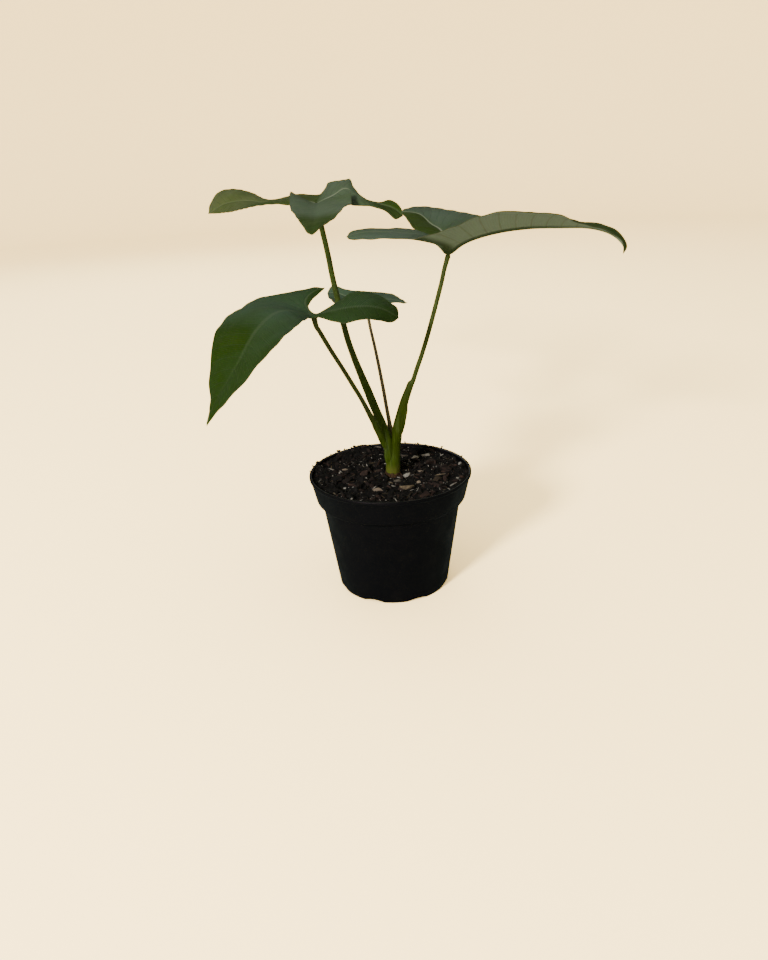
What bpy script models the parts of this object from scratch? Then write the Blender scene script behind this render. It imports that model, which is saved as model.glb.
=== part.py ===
"""A young Thaumatophyllum spruceanum in a black nursery pot.

One named object for each separate piece: the pot, the soil, the crown at the foot of the stems,
and a leaf stalk and a leaf blade for each of the four leaves.
World frame: the origin is the centre of the pot's flat base, +Z is up, and the plant is seen from -Y.
"""

import math
import random

import bmesh
import bpy
import numpy as np
from mathutils import Matrix, Vector

MM = 0.001
GAP = 0.3
SEED = 7

# Pot, in millimetres
POT_HEIGHT = 77.3
RIM_RADIUS = 52.0
BASE_RADIUS = 36.2
WALL = 0.9
FLOOR = 1.2
BODY_TOP = 58.6
BODY_TOP_RADIUS = 44.7
COLLAR_FOOT = 61.6
COLLAR_FOOT_RADIUS = 48.1
LIP_FOOT = 74.8
LIP_FOOT_RADIUS = 51.2
LIP_WIDTH = 1.5
LIP_ROUNDING = 0.5
SHOULDER_ROUNDING = 0.9
CORNER_RADIUS = 1.0
CORNER_STEPS = 3
POT_SIDES = 64
DRAINS = 8
DRAIN_WIDTH = 15.0
DRAIN_RISE = 1.8
DRAIN_INNER_RADIUS = 27.0
DRAIN_CUT_BEYOND = 4.0
DRAIN_SIDES = 56

# Soil, in millimetres
SOIL_TOP = 74.2
SOIL_ROUGHNESS = 0.5
SOIL_EDGE_RISE = 1.0
BROAD_RIPPLE = (0.31, 0.27)
BROAD_RIPPLE_SHIFT = (1.3, -0.6)
FINE_RIPPLE = (0.41, 0.62)
FINE_RIPPLE_SHARE = 0.6
SOIL_RINGS = (8, 14, 21, 28, 35, 42)
SOIL_SIDES = 40
CHIP_COUNT = 60
CHIP_LENGTHS = (3.2, 6.5)
CHIP_WIDTHS = (0.5, 0.8)
CHIP_FLATNESS = 0.55
CHIP_HEIGHTS = (0.7, 1.0)
CHIP_CORNERS_IN = (0.7, 1.0)
CHIP_CORNERS_DOWN = (0.75, 1.0)
CHIP_SUNK = 0.55
CHIP_TILT = 0.35

# Crown, in millimetres
CROWN_X = 2.0
CROWN_FOOT = 62.0
CROWN_HOLE_RADIUS = 4.7
CROWN_SIDES = 20
CROWN_RINGS = [(62, 4.1), (70, 4.1), (76, 4.2), (88, 4.9), (93, 5.1), (98, 4.6), (102, 3.4)]

# Leaves, in millimetres
BLADE = 0.8
ROW_LENGTH = 7.0
COLUMNS = 4
CAMBER = 0.05
CURVE_STEPS = 24
STALK_SIDES = 10
STALK_ROW = 7.0

# Each leaf has three lobes, listed counter-clockwise from above. A lobe has a rib, from the apex where the
# stalk meets the blade out to the lobe's tip, and a margin on its left and its right, seen along the rib.
# Sinus number i is the notch between lobe i and the next one.
LEAVES = {
    "rear_left": {
        "apex": (-45, 140, 234),
        "sinuses": [(-57, 145, 236), (-18, 90, 243), (-38, 180, 246)],
        "lobes": [
            {
                "rib": [(-61, 167, 236), (-76, 188, 234), (-91, 207, 233), (-110, 228, 234), (-131, 250, 231),
                        (-149, 264, 223)],
                "left": [(-65, 152, 233), (-79, 158, 234), (-97, 174, 232), (-117, 210, 227),
                         (-135, 246, 224)],
                "right": [(-38, 186, 242), (-43, 192, 238), (-53, 195, 238), (-64, 201, 238), (-89, 226, 233),
                          (-106.5, 248, 239.5), (-124, 266, 242.5), (-140.5, 278, 240), (-148, 276, 230)],
            },
            {
                "rib": [(-42, 95, 232), (-40, 50, 229), (-39.5, 20, 227), (-39.5, 3, 224)],
                "left": [(-17.5, 70, 236.5), (-21, 50, 236), (-27, 27, 231), (-34, 10, 227.5)],
                "right": [(-62, 132, 243), (-59.5, 92, 235), (-53, 56, 231.5), (-46.5, 29, 227), (-43, 11, 225)],
            },
            {
                "rib": [(-32, 128, 239), (-22, 116, 244), (-12, 102, 238), (-2, 92, 235), (9, 83, 232),
                        (16, 75, 227)],
                "left": [(-34.5, 174, 247.5), (-23, 156, 249), (-18.5, 142, 248.5), (-16, 124, 243.5),
                         (-8, 110, 236), (1, 98, 235), (9, 90, 236.5), (15, 81, 232)],
                "right": [(-18, 87, 235), (-10, 82, 234), (-2, 76, 233), (6, 71, 230), (11, 69, 226)],
            },
        ],
    },
    "right": {
        "apex": (39, -6, 213),
        "sinuses": [(66, 24, 227), (31, -1, 220), (18, -35, 223)],
        "lobes": [
            {
                "rib": [(50, -10, 219), (65, -15, 223), (82, -21, 225), (98, -26, 225), (112, -30, 224.5),
                        (123.5, -33, 221), (130.5, -35, 214.5), (129.5, -36, 210.5)],
                "left": [(89, 17, 225), (105, 6, 225), (118, -8, 224.5), (124, -18, 224), (130, -27, 220),
                         (132, -33, 214.5)],
                "right": [(29, -42, 226), (39, -47, 230), (51, -49, 234), (63, -52, 236), (77, -53, 235),
                          (91, -52, 233), (106, -46, 227), (120, -40, 223), (128, -37, 217)],
            },
            {
                "rib": [(36, 10, 222), (31, 28, 225), (25, 43, 230), (14, 49, 231.5)],
                "left": [(20, 12, 224), (17, 30, 228), (15, 43, 230)],
                "right": [(61, 36, 228), (48, 54, 230), (34, 69, 232), (21, 64, 233)],
            },
            {
                "rib": [(25, -12, 222), (8, -17, 225), (-9, -18, 226), (-19, -16, 224)],
                "left": [(13, -34, 223), (2, -33, 223.5), (-9, -28, 223.5), (-17, -21, 223)],
                "right": [(19, -2, 225), (8, -5, 226), (-5, -8, 227), (-16, -11, 226)],
            },
        ],
    },
    "front_left": {
        "apex": (-39, -35, 185),
        "sinuses": [(-40.5, -41, 185), (-39.5, -32, 185.5), (-68, 6, 190)],
        "lobes": [
            {
                "rib": [(-55, -52, 191), (-66, -70, 184), (-74, -88, 171), (-82, -99, 161), (-89.5, -105, 148)],
                "left": [(-44, -76, 188), (-55, -104, 182), (-66, -115, 170.5), (-78, -114, 159.5)],
                "right": [(-75, 3, 189), (-87.5, -26, 187), (-91, -42, 183), (-91, -60, 176), (-90, -80, 163),
                          (-89, -94, 154)],
            },
            {
                "rib": [(-35, -42, 187), (-27, -47, 189), (-14, -49, 191), (-1, -50, 190), (7.5, -49, 184)],
                "left": [(-34, -33, 186.5), (-26, -29, 190), (-17, -26, 195), (-6, -29, 195),
                         (5, -38, 189.5), (7.5, -43, 187)],
                "right": [(-36, -46, 186), (-28.5, -56, 185.5), (-21, -66, 186), (-13.5, -67, 187),
                          (-6, -66, 187.5), (3, -55, 183)],
            },
            {
                "rib": [(-43, -26, 187), (-45, -18, 189), (-44, -8, 191), (-40, -1, 193), (-34, 2, 194)],
                "left": [(-58, 8, 191), (-50, 9, 192), (-40, 6, 194)],
                "right": [(-42.5, -24, 187.5), (-40.5, -14, 190), (-37, -6, 192)],
            },
        ],
    },
    "rear": {
        "apex": (-12, 128, 162),
        "sinuses": [(-28, 128, 164), (-10, 112, 161), (0, 139, 168)],
        "lobes": [
            {
                "rib": [(-24, 148, 163), (-35, 164, 165), (-43, 172, 163.5)],
                "left": [(-40, 152, 162.5)],
                "right": [(-16, 150, 168), (-27, 160, 168), (-38, 170, 170)],
            },
            {
                "rib": [(-23, 112, 164), (-34, 99, 168)],
                "left": [(-22, 100, 163)],
                "right": [(-38.5, 124, 168.5)],
            },
            {
                "rib": [(2, 113, 167), (18, 95, 167)],
                "left": [(9, 127, 168), (14, 110, 167)],
                "right": [(-2, 100, 165), (10, 96, 167)],
            },
        ],
    },
}

# Each stalk runs from inside the crown to the apex of its leaf. Radii are read at the same points.
STALKS = {
    "rear_left": {
        "line": [(0.6, 0.5, 90), (-1.6, 1, 99), (-4.2, 4.5, 107.5), (-8, 8.5, 117), (-12, 12, 127.5),
                 (-15, 16.5, 134.5), (-21, 27, 148), (-25.5, 41, 160.5), (-33, 73, 188), (-36, 91.5, 200),
                 (-38.5, 107, 208.5), (-40.5, 118, 215.5), (-45, 140, 234)],
        "radii": [2.7, 2.9, 2.9, 2.65, 2.6, 2.3, 1.8, 1.75, 1.65, 1.65, 1.65, 1.7, 1.8],
    },
    "right": {
        "line": [(2.6, -1, 90), (4.2, -1.8, 99), (6, -2.4, 107), (8.1, -3.3, 115.7), (10.4, -4.5, 124),
                 (13.1, -5.6, 131.6), (14.6, -6.2, 135.5), (16, -6.5, 137.5), (17.2, -7, 141), (19.2, -7.7, 147),
                 (21.7, -8.2, 154), (26.3, -8.8, 168.5), (33.2, -8.1, 192.5), (35.7, -7.4, 202.5),
                 (37.7, -6.7, 209), (39, -6, 213)],
        "radii": [3.6, 3.5, 3.3, 2.9, 2.6, 2.2, 2.05, 1.5, 1.4, 1.35, 1.25, 1.25, 1.15, 1.15, 1.4, 2.2],
    },
    "front_left": {
        "line": [(-0.2, -1.8, 90), (-4.2, -2.2, 99), (-6.9, -4.2, 107), (-12.6, -8, 121), (-16, -10.5, 129.3),
                 (-20, -13, 137.7), (-25.7, -19.3, 150.6), (-31.4, -25.5, 163), (-36.4, -31.4, 174.8),
                 (-38.1, -32.9, 178.6), (-39, -35, 185)],
        "radii": [2.0, 2.1, 2.0, 1.4, 1.2, 1.2, 1.15, 1.15, 1.15, 1.25, 1.6],
    },
    "rear": {
        "line": [(1.5, 3, 90), (1.4, 5, 99), (0.9, 8.4, 106), (0.1, 13, 111), (-0.8, 19.2, 116), (-2, 29, 123),
                 (-4.7, 54, 135), (-6.9, 74.3, 143), (-9.3, 96, 150.7), (-12, 128, 162)],
        "radii": [1.6, 1.8, 1.6, 1.1, 0.95, 0.95, 0.9, 0.9, 0.9, 1.1],
    },
}
SHEATH_POINTS = 3

# Colours, as linear RGB
POT_BLACK = (0.010, 0.010, 0.011)
SOIL_BROWN = (0.022, 0.015, 0.010)
CROWN_GREEN = (0.13, 0.17, 0.035)
STALK_GREEN = (0.045, 0.075, 0.022)
BLADE_GREEN = (0.025, 0.085, 0.020)


def clear_scene():
    for obj in list(bpy.data.objects):
        bpy.data.objects.remove(obj, do_unlink=True)


def material(name, colour, roughness):
    made = bpy.data.materials.new(name)
    made.use_nodes = True
    shader = made.node_tree.nodes["Principled BSDF"]
    shader.inputs["Base Color"].default_value = (*colour, 1.0)
    shader.inputs["Roughness"].default_value = roughness
    shader.inputs["Metallic"].default_value = 0.0
    return made


def add_object(name, mesh, finish=None):
    obj = bpy.data.objects.new(name, mesh)
    bpy.context.scene.collection.objects.link(obj)
    if finish:
        mesh.materials.append(finish)
    return obj


def mesh_of(name, points, faces):
    """A mesh from points in millimetres, with points that coincide welded."""
    shape = bmesh.new()
    verts = [shape.verts.new(Vector(point) * MM) for point in points]
    for face in faces:
        shape.faces.new([verts[i] for i in face])
    bmesh.ops.remove_doubles(shape, verts=shape.verts, dist=1e-6)
    bmesh.ops.dissolve_degenerate(shape, dist=1e-6, edges=shape.edges)
    mesh = bpy.data.meshes.new(name)
    shape.to_mesh(mesh)
    shape.free()
    return mesh


def applied(obj):
    """Replaces the object's mesh with its evaluated one and takes its modifiers off."""
    bpy.context.view_layer.update()
    graph = bpy.context.evaluated_depsgraph_get()
    mesh = bpy.data.meshes.new_from_object(obj.evaluated_get(graph))
    obj.modifiers.clear()
    obj.data = mesh


def boolean(obj, operation, other=None, collection=None):
    cut = obj.modifiers.new(operation.title(), "BOOLEAN")
    cut.operation = operation
    cut.solver = "EXACT"
    if collection:
        cut.operand_type = "COLLECTION"
        cut.collection = collection
    else:
        cut.object = other


def largest_body(obj):
    """Drops every loose scrap of the object's mesh but the largest body."""
    shape = bmesh.new()
    shape.from_mesh(obj.data)
    left = set(shape.verts)
    bodies = []
    while left:
        body = set()
        waiting = [left.pop()]
        while waiting:
            vert = waiting.pop()
            body.add(vert)
            near = {e.other_vert(vert) for e in vert.link_edges} & left
            left -= near
            waiting.extend(near)
        bodies.append(body)
    biggest = max(bodies, key=len)
    bmesh.ops.delete(shape, geom=[v for v in shape.verts if v not in biggest], context="VERTS")
    shape.to_mesh(obj.data)
    shape.free()


def shade(obj, degrees):
    obj.data.shade_smooth()
    obj.data.set_sharp_from_angle(angle=math.radians(degrees))


def smooth_curve(points, count):
    """A smooth curve through the points, read at count + 1 places evenly along its length."""
    p = np.asarray(points, float)
    p = np.vstack([2 * p[0] - p[1], p, 2 * p[-1] - p[-2]])
    t = np.linspace(0, 1, CURVE_STEPS, endpoint=False)[:, None]
    runs = []
    for a, b, c, d in zip(p, p[1:], p[2:], p[3:]):
        square = (2 * a - 5 * b + 4 * c - d) * t**2
        cube = (3 * b - a - 3 * c + d) * t**3
        runs.append(0.5 * (2 * b + (c - a) * t + square + cube))
    fine = np.vstack(runs + [p[-2:-1]])
    run = np.append(0, np.cumsum(np.linalg.norm(np.diff(fine[:, :3], axis=0), axis=1)))
    places = np.linspace(0, run[-1], count + 1)
    return np.stack([np.interp(places, run, column) for column in fine.T], 1)


def length_of(points):
    return np.linalg.norm(np.diff(np.asarray(points, float), axis=0), axis=1).sum()


def lathe(profile, sides, centres=None):
    """Points and faces of a turned profile of (radius, z), whose ends may lie on the axis."""
    points, rings = [], []
    for number, (radius, z) in enumerate(profile):
        x = centres[number] if centres else 0.0
        if radius == 0:
            rings.append([len(points)] * sides)
            points.append((x, 0, z))
            continue
        rings.append(list(range(len(points), len(points) + sides)))
        for k in range(sides):
            angle = 2 * math.pi * k / sides
            points.append((x + radius * math.cos(angle), radius * math.sin(angle), z))
    faces = []
    for low, high in zip(rings, rings[1:]):
        for k in range(sides):
            n = (k + 1) % sides
            corners = [low[k], low[n], high[n], high[k]]
            faces.append(list(dict.fromkeys(corners)))
    return points, faces


def corner_arc():
    """The rounded foot of the pot, from the flat base up to the wall."""
    arc = []
    for step in range(CORNER_STEPS + 1):
        angle = math.pi / 2 * step / CORNER_STEPS
        out, up = CORNER_RADIUS * math.sin(angle), CORNER_RADIUS * (1 - math.cos(angle))
        arc.append((BASE_RADIUS - CORNER_RADIUS + out, up))
    return arc


def pot_outside():
    """The outer profile, from the edge of the flat base up to the lip."""
    return corner_arc() + [
        (BODY_TOP_RADIUS, BODY_TOP),
        (BODY_TOP_RADIUS + SHOULDER_ROUNDING, BODY_TOP + SHOULDER_ROUNDING / 2),
        (COLLAR_FOOT_RADIUS - SHOULDER_ROUNDING / 2, COLLAR_FOOT - SHOULDER_ROUNDING),
        (COLLAR_FOOT_RADIUS, COLLAR_FOOT),
        (LIP_FOOT_RADIUS, LIP_FOOT),
        (RIM_RADIUS, LIP_FOOT + RIM_RADIUS - LIP_FOOT_RADIUS),
        (RIM_RADIUS, POT_HEIGHT - LIP_ROUNDING),
        (RIM_RADIUS - LIP_ROUNDING, POT_HEIGHT),
    ]


def pot_inside():
    """The inner profile, from the lip down to the floor."""
    return [
        (RIM_RADIUS - LIP_WIDTH, POT_HEIGHT),
        (LIP_FOOT_RADIUS - WALL, LIP_FOOT + LIP_ROUNDING),
        (COLLAR_FOOT_RADIUS - WALL, COLLAR_FOOT + WALL / 2),
        (BODY_TOP_RADIUS - WALL, BODY_TOP + WALL),
        (BASE_RADIUS - WALL, FLOOR + CORNER_RADIUS),
        (BASE_RADIUS - WALL - CORNER_RADIUS, FLOOR),
    ]


def drain_cutters(collection):
    """Bars with an arched top, laid out from the centre, that open the pot's bottom corner."""
    half = DRAIN_WIDTH / 2
    arch = (half**2 + DRAIN_RISE**2) / (2 * DRAIN_RISE)
    reach = BASE_RADIUS + DRAIN_CUT_BEYOND - DRAIN_INNER_RADIUS
    middle = Vector((DRAIN_INNER_RADIUS + reach / 2, 0, DRAIN_RISE - arch)) * MM
    for number in range(DRAINS):
        angle = 2 * math.pi * (number + 0.5) / DRAINS - math.pi / 2
        shape = bmesh.new()
        size = {"radius1": arch * MM, "radius2": arch * MM, "depth": reach * MM}
        bmesh.ops.create_cone(shape, cap_ends=True, segments=DRAIN_SIDES, **size)
        place = Matrix.Rotation(angle, 4, "Z") @ Matrix.Translation(middle)
        bmesh.ops.transform(shape, matrix=place @ Matrix.Rotation(math.pi / 2, 4, "Y"), verts=shape.verts)
        mesh = bpy.data.meshes.new("drain_cutter")
        shape.to_mesh(mesh)
        shape.free()
        collection.objects.link(bpy.data.objects.new("drain_cutter", mesh))


def remove_collection(collection):
    for obj in list(collection.objects):
        bpy.data.objects.remove(obj, do_unlink=True)
    bpy.data.collections.remove(collection)


def new_collection(name):
    made = bpy.data.collections.new(name)
    bpy.context.scene.collection.children.link(made)
    return made


def make_pot(finish):
    profile = [(0, 0)] + pot_outside() + pot_inside() + [(0, FLOOR)]
    points, faces = lathe(profile, POT_SIDES)
    pot = add_object("pot", mesh_of("pot", points, faces), finish)
    drains = new_collection("drains")
    drain_cutters(drains)
    boolean(pot, "DIFFERENCE", collection=drains)
    applied(pot)
    remove_collection(drains)
    shade(pot, 35)


def soil_height(x, y):
    """Height of the soil's top: rough all over but level at the stem, and a little higher at the wall."""
    away = math.hypot(x - CROWN_X, y) / RIM_RADIUS
    along = math.sin(BROAD_RIPPLE[0] * x + BROAD_RIPPLE_SHIFT[0])
    across = math.cos(BROAD_RIPPLE[1] * y + BROAD_RIPPLE_SHIFT[1])
    fine = math.sin(FINE_RIPPLE[0] * x + FINE_RIPPLE[1] * y)
    ripple = (along * across + FINE_RIPPLE_SHARE * fine) * min(1, 2 * away)
    return SOIL_TOP + SOIL_ROUGHNESS * ripple + SOIL_EDGE_RISE * away**2


def soil_profile():
    """(radius, z, centre) from the middle of the hole's floor out over the top and down the wall."""
    inside = [(radius - GAP, z) for radius, z in pot_inside()]
    lowest_edge = SOIL_TOP - (1 + FINE_RIPPLE_SHARE) * SOIL_ROUGHNESS
    wall_top = np.interp(lowest_edge, [inside[2][1], inside[1][1]], [inside[2][0], inside[1][0]])
    hole = [(0, CROWN_FOOT - GAP, CROWN_X), (CROWN_HOLE_RADIUS, CROWN_FOOT - GAP, CROWN_X),
            (CROWN_HOLE_RADIUS, None, CROWN_X)]
    top = [(radius, None, CROWN_X * (1 - radius / wall_top)) for radius in SOIL_RINGS]
    wall = [(wall_top, None, 0)] + [(radius, z, 0) for radius, z in inside[2:5]]
    base = [(inside[5][0], inside[5][1] + GAP, 0), (0, FLOOR + GAP, 0)]
    return hole + top + wall + base


def chip_points(rng, length):
    """Corners of a rough block with no two sides alike, and its faces."""
    width = length * rng.uniform(*CHIP_WIDTHS)
    height = length * CHIP_FLATNESS * rng.uniform(*CHIP_HEIGHTS)
    corners = []
    for z in (-1, 1):
        for x, y in ((-1, -1), (1, -1), (1, 1), (-1, 1)):
            pull = rng.uniform(*CHIP_CORNERS_IN)
            rise = z * rng.uniform(*CHIP_CORNERS_DOWN)
            corners.append(Vector((x * length * pull, y * width * pull, height * rise)) / 2)
    faces = [(3, 2, 1, 0), (4, 5, 6, 7), (0, 1, 5, 4), (1, 2, 6, 5), (2, 3, 7, 6), (3, 0, 4, 7)]
    return corners, faces


def chip_places(rng, spread):
    """Places on the soil, well apart, clear of the stem and of the wall."""
    places = []
    while len(places) < CHIP_COUNT:
        radius = spread * math.sqrt(rng.random())
        angle = rng.uniform(0, 2 * math.pi)
        x, y = radius * math.cos(angle), radius * math.sin(angle)
        length = rng.uniform(*CHIP_LENGTHS)
        if math.hypot(x - CROWN_X, y) < CROWN_HOLE_RADIUS + length:
            continue
        if all(math.hypot(x - u, y - v) > 0.5 * (length + other) for u, v, other in places):
            places.append((x, y, length))
    return places


def chips(collection):
    rng = random.Random(SEED)
    for x, y, length in chip_places(rng, LIP_FOOT_RADIUS - WALL - GAP - 0.75 * max(CHIP_LENGTHS)):
        corners, faces = chip_points(rng, length)
        turn = Matrix.Rotation(rng.uniform(0, 2 * math.pi), 3, "Z")
        turn @= Matrix.Rotation(rng.uniform(-CHIP_TILT, CHIP_TILT), 3, "X")
        turn @= Matrix.Rotation(rng.uniform(-CHIP_TILT, CHIP_TILT), 3, "Y")
        place = Vector((x, y, soil_height(x, y) + length * CHIP_FLATNESS * (0.5 - CHIP_SUNK)))
        points = [place + turn @ corner for corner in corners]
        shape = bmesh.new()
        verts = [shape.verts.new(point * MM) for point in points]
        for face in faces:
            shape.faces.new([verts[i] for i in face])
        bmesh.ops.triangulate(shape, faces=shape.faces)
        bmesh.ops.recalc_face_normals(shape, faces=shape.faces)
        mesh = bpy.data.meshes.new("chip")
        shape.to_mesh(mesh)
        shape.free()
        collection.objects.link(bpy.data.objects.new("chip", mesh))


def make_soil(finish):
    rows = soil_profile()
    points, faces = lathe([(radius, z or 0) for radius, z, _ in rows], SOIL_SIDES, [row[2] for row in rows])
    level = [z is None for _, z, _ in rows]
    number = 0
    for (radius, _, _), rough in zip(rows, level):
        for _ in range(1 if radius == 0 else SOIL_SIDES):
            x, y, z = points[number]
            points[number] = (x, y, soil_height(x, y) if rough else z)
            number += 1
    soil = add_object("soil", mesh_of("soil", points, [face[::-1] for face in faces]), finish)
    pile = new_collection("chips")
    chips(pile)
    boolean(soil, "UNION", collection=pile)
    applied(soil)
    remove_collection(pile)


def frames(line):
    """Directions along the line, and two sideways directions that turn as little as they can."""
    ahead = np.gradient(line, axis=0)
    ahead /= np.linalg.norm(ahead, axis=1)[:, None]
    side = np.cross(ahead[0], (0, 1, 0))
    sides = []
    for direction in ahead:
        side = side - direction * (side @ direction)
        side /= np.linalg.norm(side)
        sides.append(side)
    sides = np.array(sides)
    return ahead, sides, np.cross(ahead, sides)


def tube(line, radii, sides):
    """Points and faces of a closed tube with flat ends, with a radius at each point of its line."""
    _, across, over = frames(line)
    points, faces = [], []
    for centre, radius, u, v in zip(line, radii, across, over):
        for k in range(sides):
            angle = 2 * math.pi * k / sides
            points.append(centre + radius * (u * math.cos(angle) + v * math.sin(angle)))
    for row in range(len(line) - 1):
        for k in range(sides):
            n = (k + 1) % sides
            low, high = row * sides, (row + 1) * sides
            faces.append([low + k, low + n, high + n, high + k])
    faces.append(list(range(sides))[::-1])
    faces.append([(len(line) - 1) * sides + k for k in range(sides)])
    return points, faces


def stalk_line(stalk):
    """The centre line with its radii, its running length, the length of the sheath and a row count."""
    points = np.array([(*point, radius) for point, radius in zip(stalk["line"], stalk["radii"])])
    count = max(8, round(length_of(stalk["line"]) / STALK_ROW))
    line = smooth_curve(points, count * 4)
    sheath = length_of(stalk["line"][:SHEATH_POINTS])
    run = np.append(0, np.cumsum(np.linalg.norm(np.diff(line[:, :3], axis=0), axis=1)))
    return line, run, sheath, count


def read_line(line, run, start, end, count):
    places = np.linspace(start, end, count + 1)
    return np.stack([np.interp(places, run, column) for column in line.T], 1)


def closed_mesh(name, points, faces):
    mesh = mesh_of(name, points, faces)
    shape = bmesh.new()
    shape.from_mesh(mesh)
    bmesh.ops.triangulate(shape, faces=shape.faces)
    bmesh.ops.recalc_face_normals(shape, faces=shape.faces)
    shape.to_mesh(mesh)
    shape.free()
    return mesh


def make_crown(finish):
    """The short column of sheaths in the soil, with the foot of each stalk growing out of it."""
    profile = [(0, CROWN_FOOT)] + [(radius, z) for z, radius in CROWN_RINGS] + [(0, CROWN_RINGS[-1][0] + 0.5)]
    points, faces = lathe(profile, CROWN_SIDES, [CROWN_X] * len(profile))
    crown = add_object("crown", closed_mesh("crown", points, faces), finish)
    feet = new_collection("feet")
    for name, stalk in STALKS.items():
        line, run, sheath, _ = stalk_line(stalk)
        foot = read_line(line, run, 0, sheath, 6)
        points, faces = tube(foot[:, :3], foot[:, 3], CROWN_SIDES - 4)
        feet.objects.link(bpy.data.objects.new("foot_" + name, closed_mesh("foot", points, faces)))
    boolean(crown, "UNION", collection=feet)
    applied(crown)
    remove_collection(feet)
    shade(crown, 40)


def half_lobe(rib, margin, rows):
    """Points from the rib out to the margin, slightly arched between them."""
    inner, outer = smooth_curve(rib, rows), smooth_curve(margin, rows)
    v = np.linspace(0, 1, COLUMNS + 1)[None, :, None]
    reach = outer - inner
    up = np.cross(np.gradient(inner, axis=0), reach)
    up /= np.maximum(np.linalg.norm(up, axis=1)[:, None], 1e-9)
    up *= np.sign(up[:, 2:3] + 1e-9)
    fade = np.minimum(1, 4 * np.linspace(0, 1, rows + 1))[:, None, None]
    lift = CAMBER * np.linalg.norm(reach, axis=1)[:, None, None] * 4 * v * (1 - v) * fade
    return inner[:, None] + reach[:, None] * v + up[:, None] * lift


def blade_faces(first, rows, side):
    """Triangles of one half lobe's grid of points, all facing up."""
    faces = []
    width = COLUMNS + 1
    for row in range(rows):
        for column in range(COLUMNS):
            a = first + row * width + column
            b, c, d = a + width, a + width + 1, a + 1
            for face in ((a, b, c), (a, c, d)):
                faces.append(face if side > 0 else face[::-1])
    return faces


def blade_surface(leaf):
    """Points and triangles of the middle surface of a leaf's blade."""
    points, faces = [], []
    for number, lobe in enumerate(leaf["lobes"]):
        rib = [leaf["apex"], *lobe["rib"]]
        rows = max(4, round(length_of(rib) / ROW_LENGTH))
        for side, margin, sinus in ((1, "left", number), (-1, "right", number - 1)):
            outline = [leaf["sinuses"][sinus], *lobe[margin], lobe["rib"][-1]]
            faces += blade_faces(len(points), rows, side)
            points += [tuple(point) for point in half_lobe(rib, outline, rows).reshape(-1, 3)]
    return points, faces


def thickened(name, leaf, thickness, finish=None):
    points, faces = blade_surface(leaf)
    obj = add_object(name, mesh_of(name, points, faces), finish)
    thick = obj.modifiers.new("Thickness", "SOLIDIFY")
    thick.thickness = thickness * MM
    thick.offset = 0
    thick.use_quality_normals = True
    return obj


def make_leaf(name, finish):
    shade(thickened("leaf_" + name, LEAVES[name], BLADE, finish), 50)


def make_stalk(name, finish):
    """The stalk from the sheath's mouth up to the underside of its blade."""
    line, run, sheath, count = stalk_line(STALKS[name])
    reach = read_line(line, run, sheath + GAP, run[-1], count)
    points, faces = tube(reach[:, :3], reach[:, 3], STALK_SIDES)
    stalk = add_object("stalk_" + name, closed_mesh("stalk", points, faces), finish)
    clearance = thickened("clearance", LEAVES[name], BLADE + 2 * GAP)
    boolean(stalk, "DIFFERENCE", other=clearance)
    applied(stalk)
    bpy.data.objects.remove(clearance, do_unlink=True)
    largest_body(stalk)
    shade(stalk, 40)


def main():
    clear_scene()
    make_pot(material("pot", POT_BLACK, 0.45))
    make_soil(material("soil", SOIL_BROWN, 0.95))
    make_crown(material("crown", CROWN_GREEN, 0.5))
    for name in LEAVES:
        make_stalk(name, material("stalk_" + name, STALK_GREEN, 0.45))
        make_leaf(name, material("leaf_" + name, BLADE_GREEN, 0.35))


main()
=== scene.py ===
"""Looks of a young potted Thaumatophyllum spruceanum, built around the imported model.

World frame: the origin is the centre of the pot's flat base, +Z is up, and the plant is seen from -Y.
Lengths in the tables are in millimetres, and meshes are in metres.
"""

import math
import random

import bmesh
import bpy
import numpy as np
from mathutils import Matrix, Vector, noise


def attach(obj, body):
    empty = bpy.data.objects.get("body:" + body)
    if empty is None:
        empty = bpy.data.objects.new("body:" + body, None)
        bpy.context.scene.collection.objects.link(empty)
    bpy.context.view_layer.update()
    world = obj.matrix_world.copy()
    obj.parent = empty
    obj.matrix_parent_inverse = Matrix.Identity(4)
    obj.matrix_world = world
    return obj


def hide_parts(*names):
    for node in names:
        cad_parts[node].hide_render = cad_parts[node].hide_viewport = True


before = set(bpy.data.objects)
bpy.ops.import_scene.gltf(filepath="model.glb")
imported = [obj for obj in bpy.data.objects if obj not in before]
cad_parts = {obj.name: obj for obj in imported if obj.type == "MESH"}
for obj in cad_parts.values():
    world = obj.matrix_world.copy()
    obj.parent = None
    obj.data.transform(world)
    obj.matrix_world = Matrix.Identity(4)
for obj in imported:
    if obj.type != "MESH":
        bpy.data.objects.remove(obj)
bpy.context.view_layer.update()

MM = 0.001
SEED = 11
TINY = 1e-9

# Roundings: the largest share of a side that one takes up, and its steps
LONGEST_CUT = 0.45
FILLET_STEPS = 6

# Angle in degrees from which an edge looks sharp
SHARP_ANGLES = {"pot": 32, "soil": 180, "crown": 60, "stalk": 50, "leaf": 60}

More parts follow.
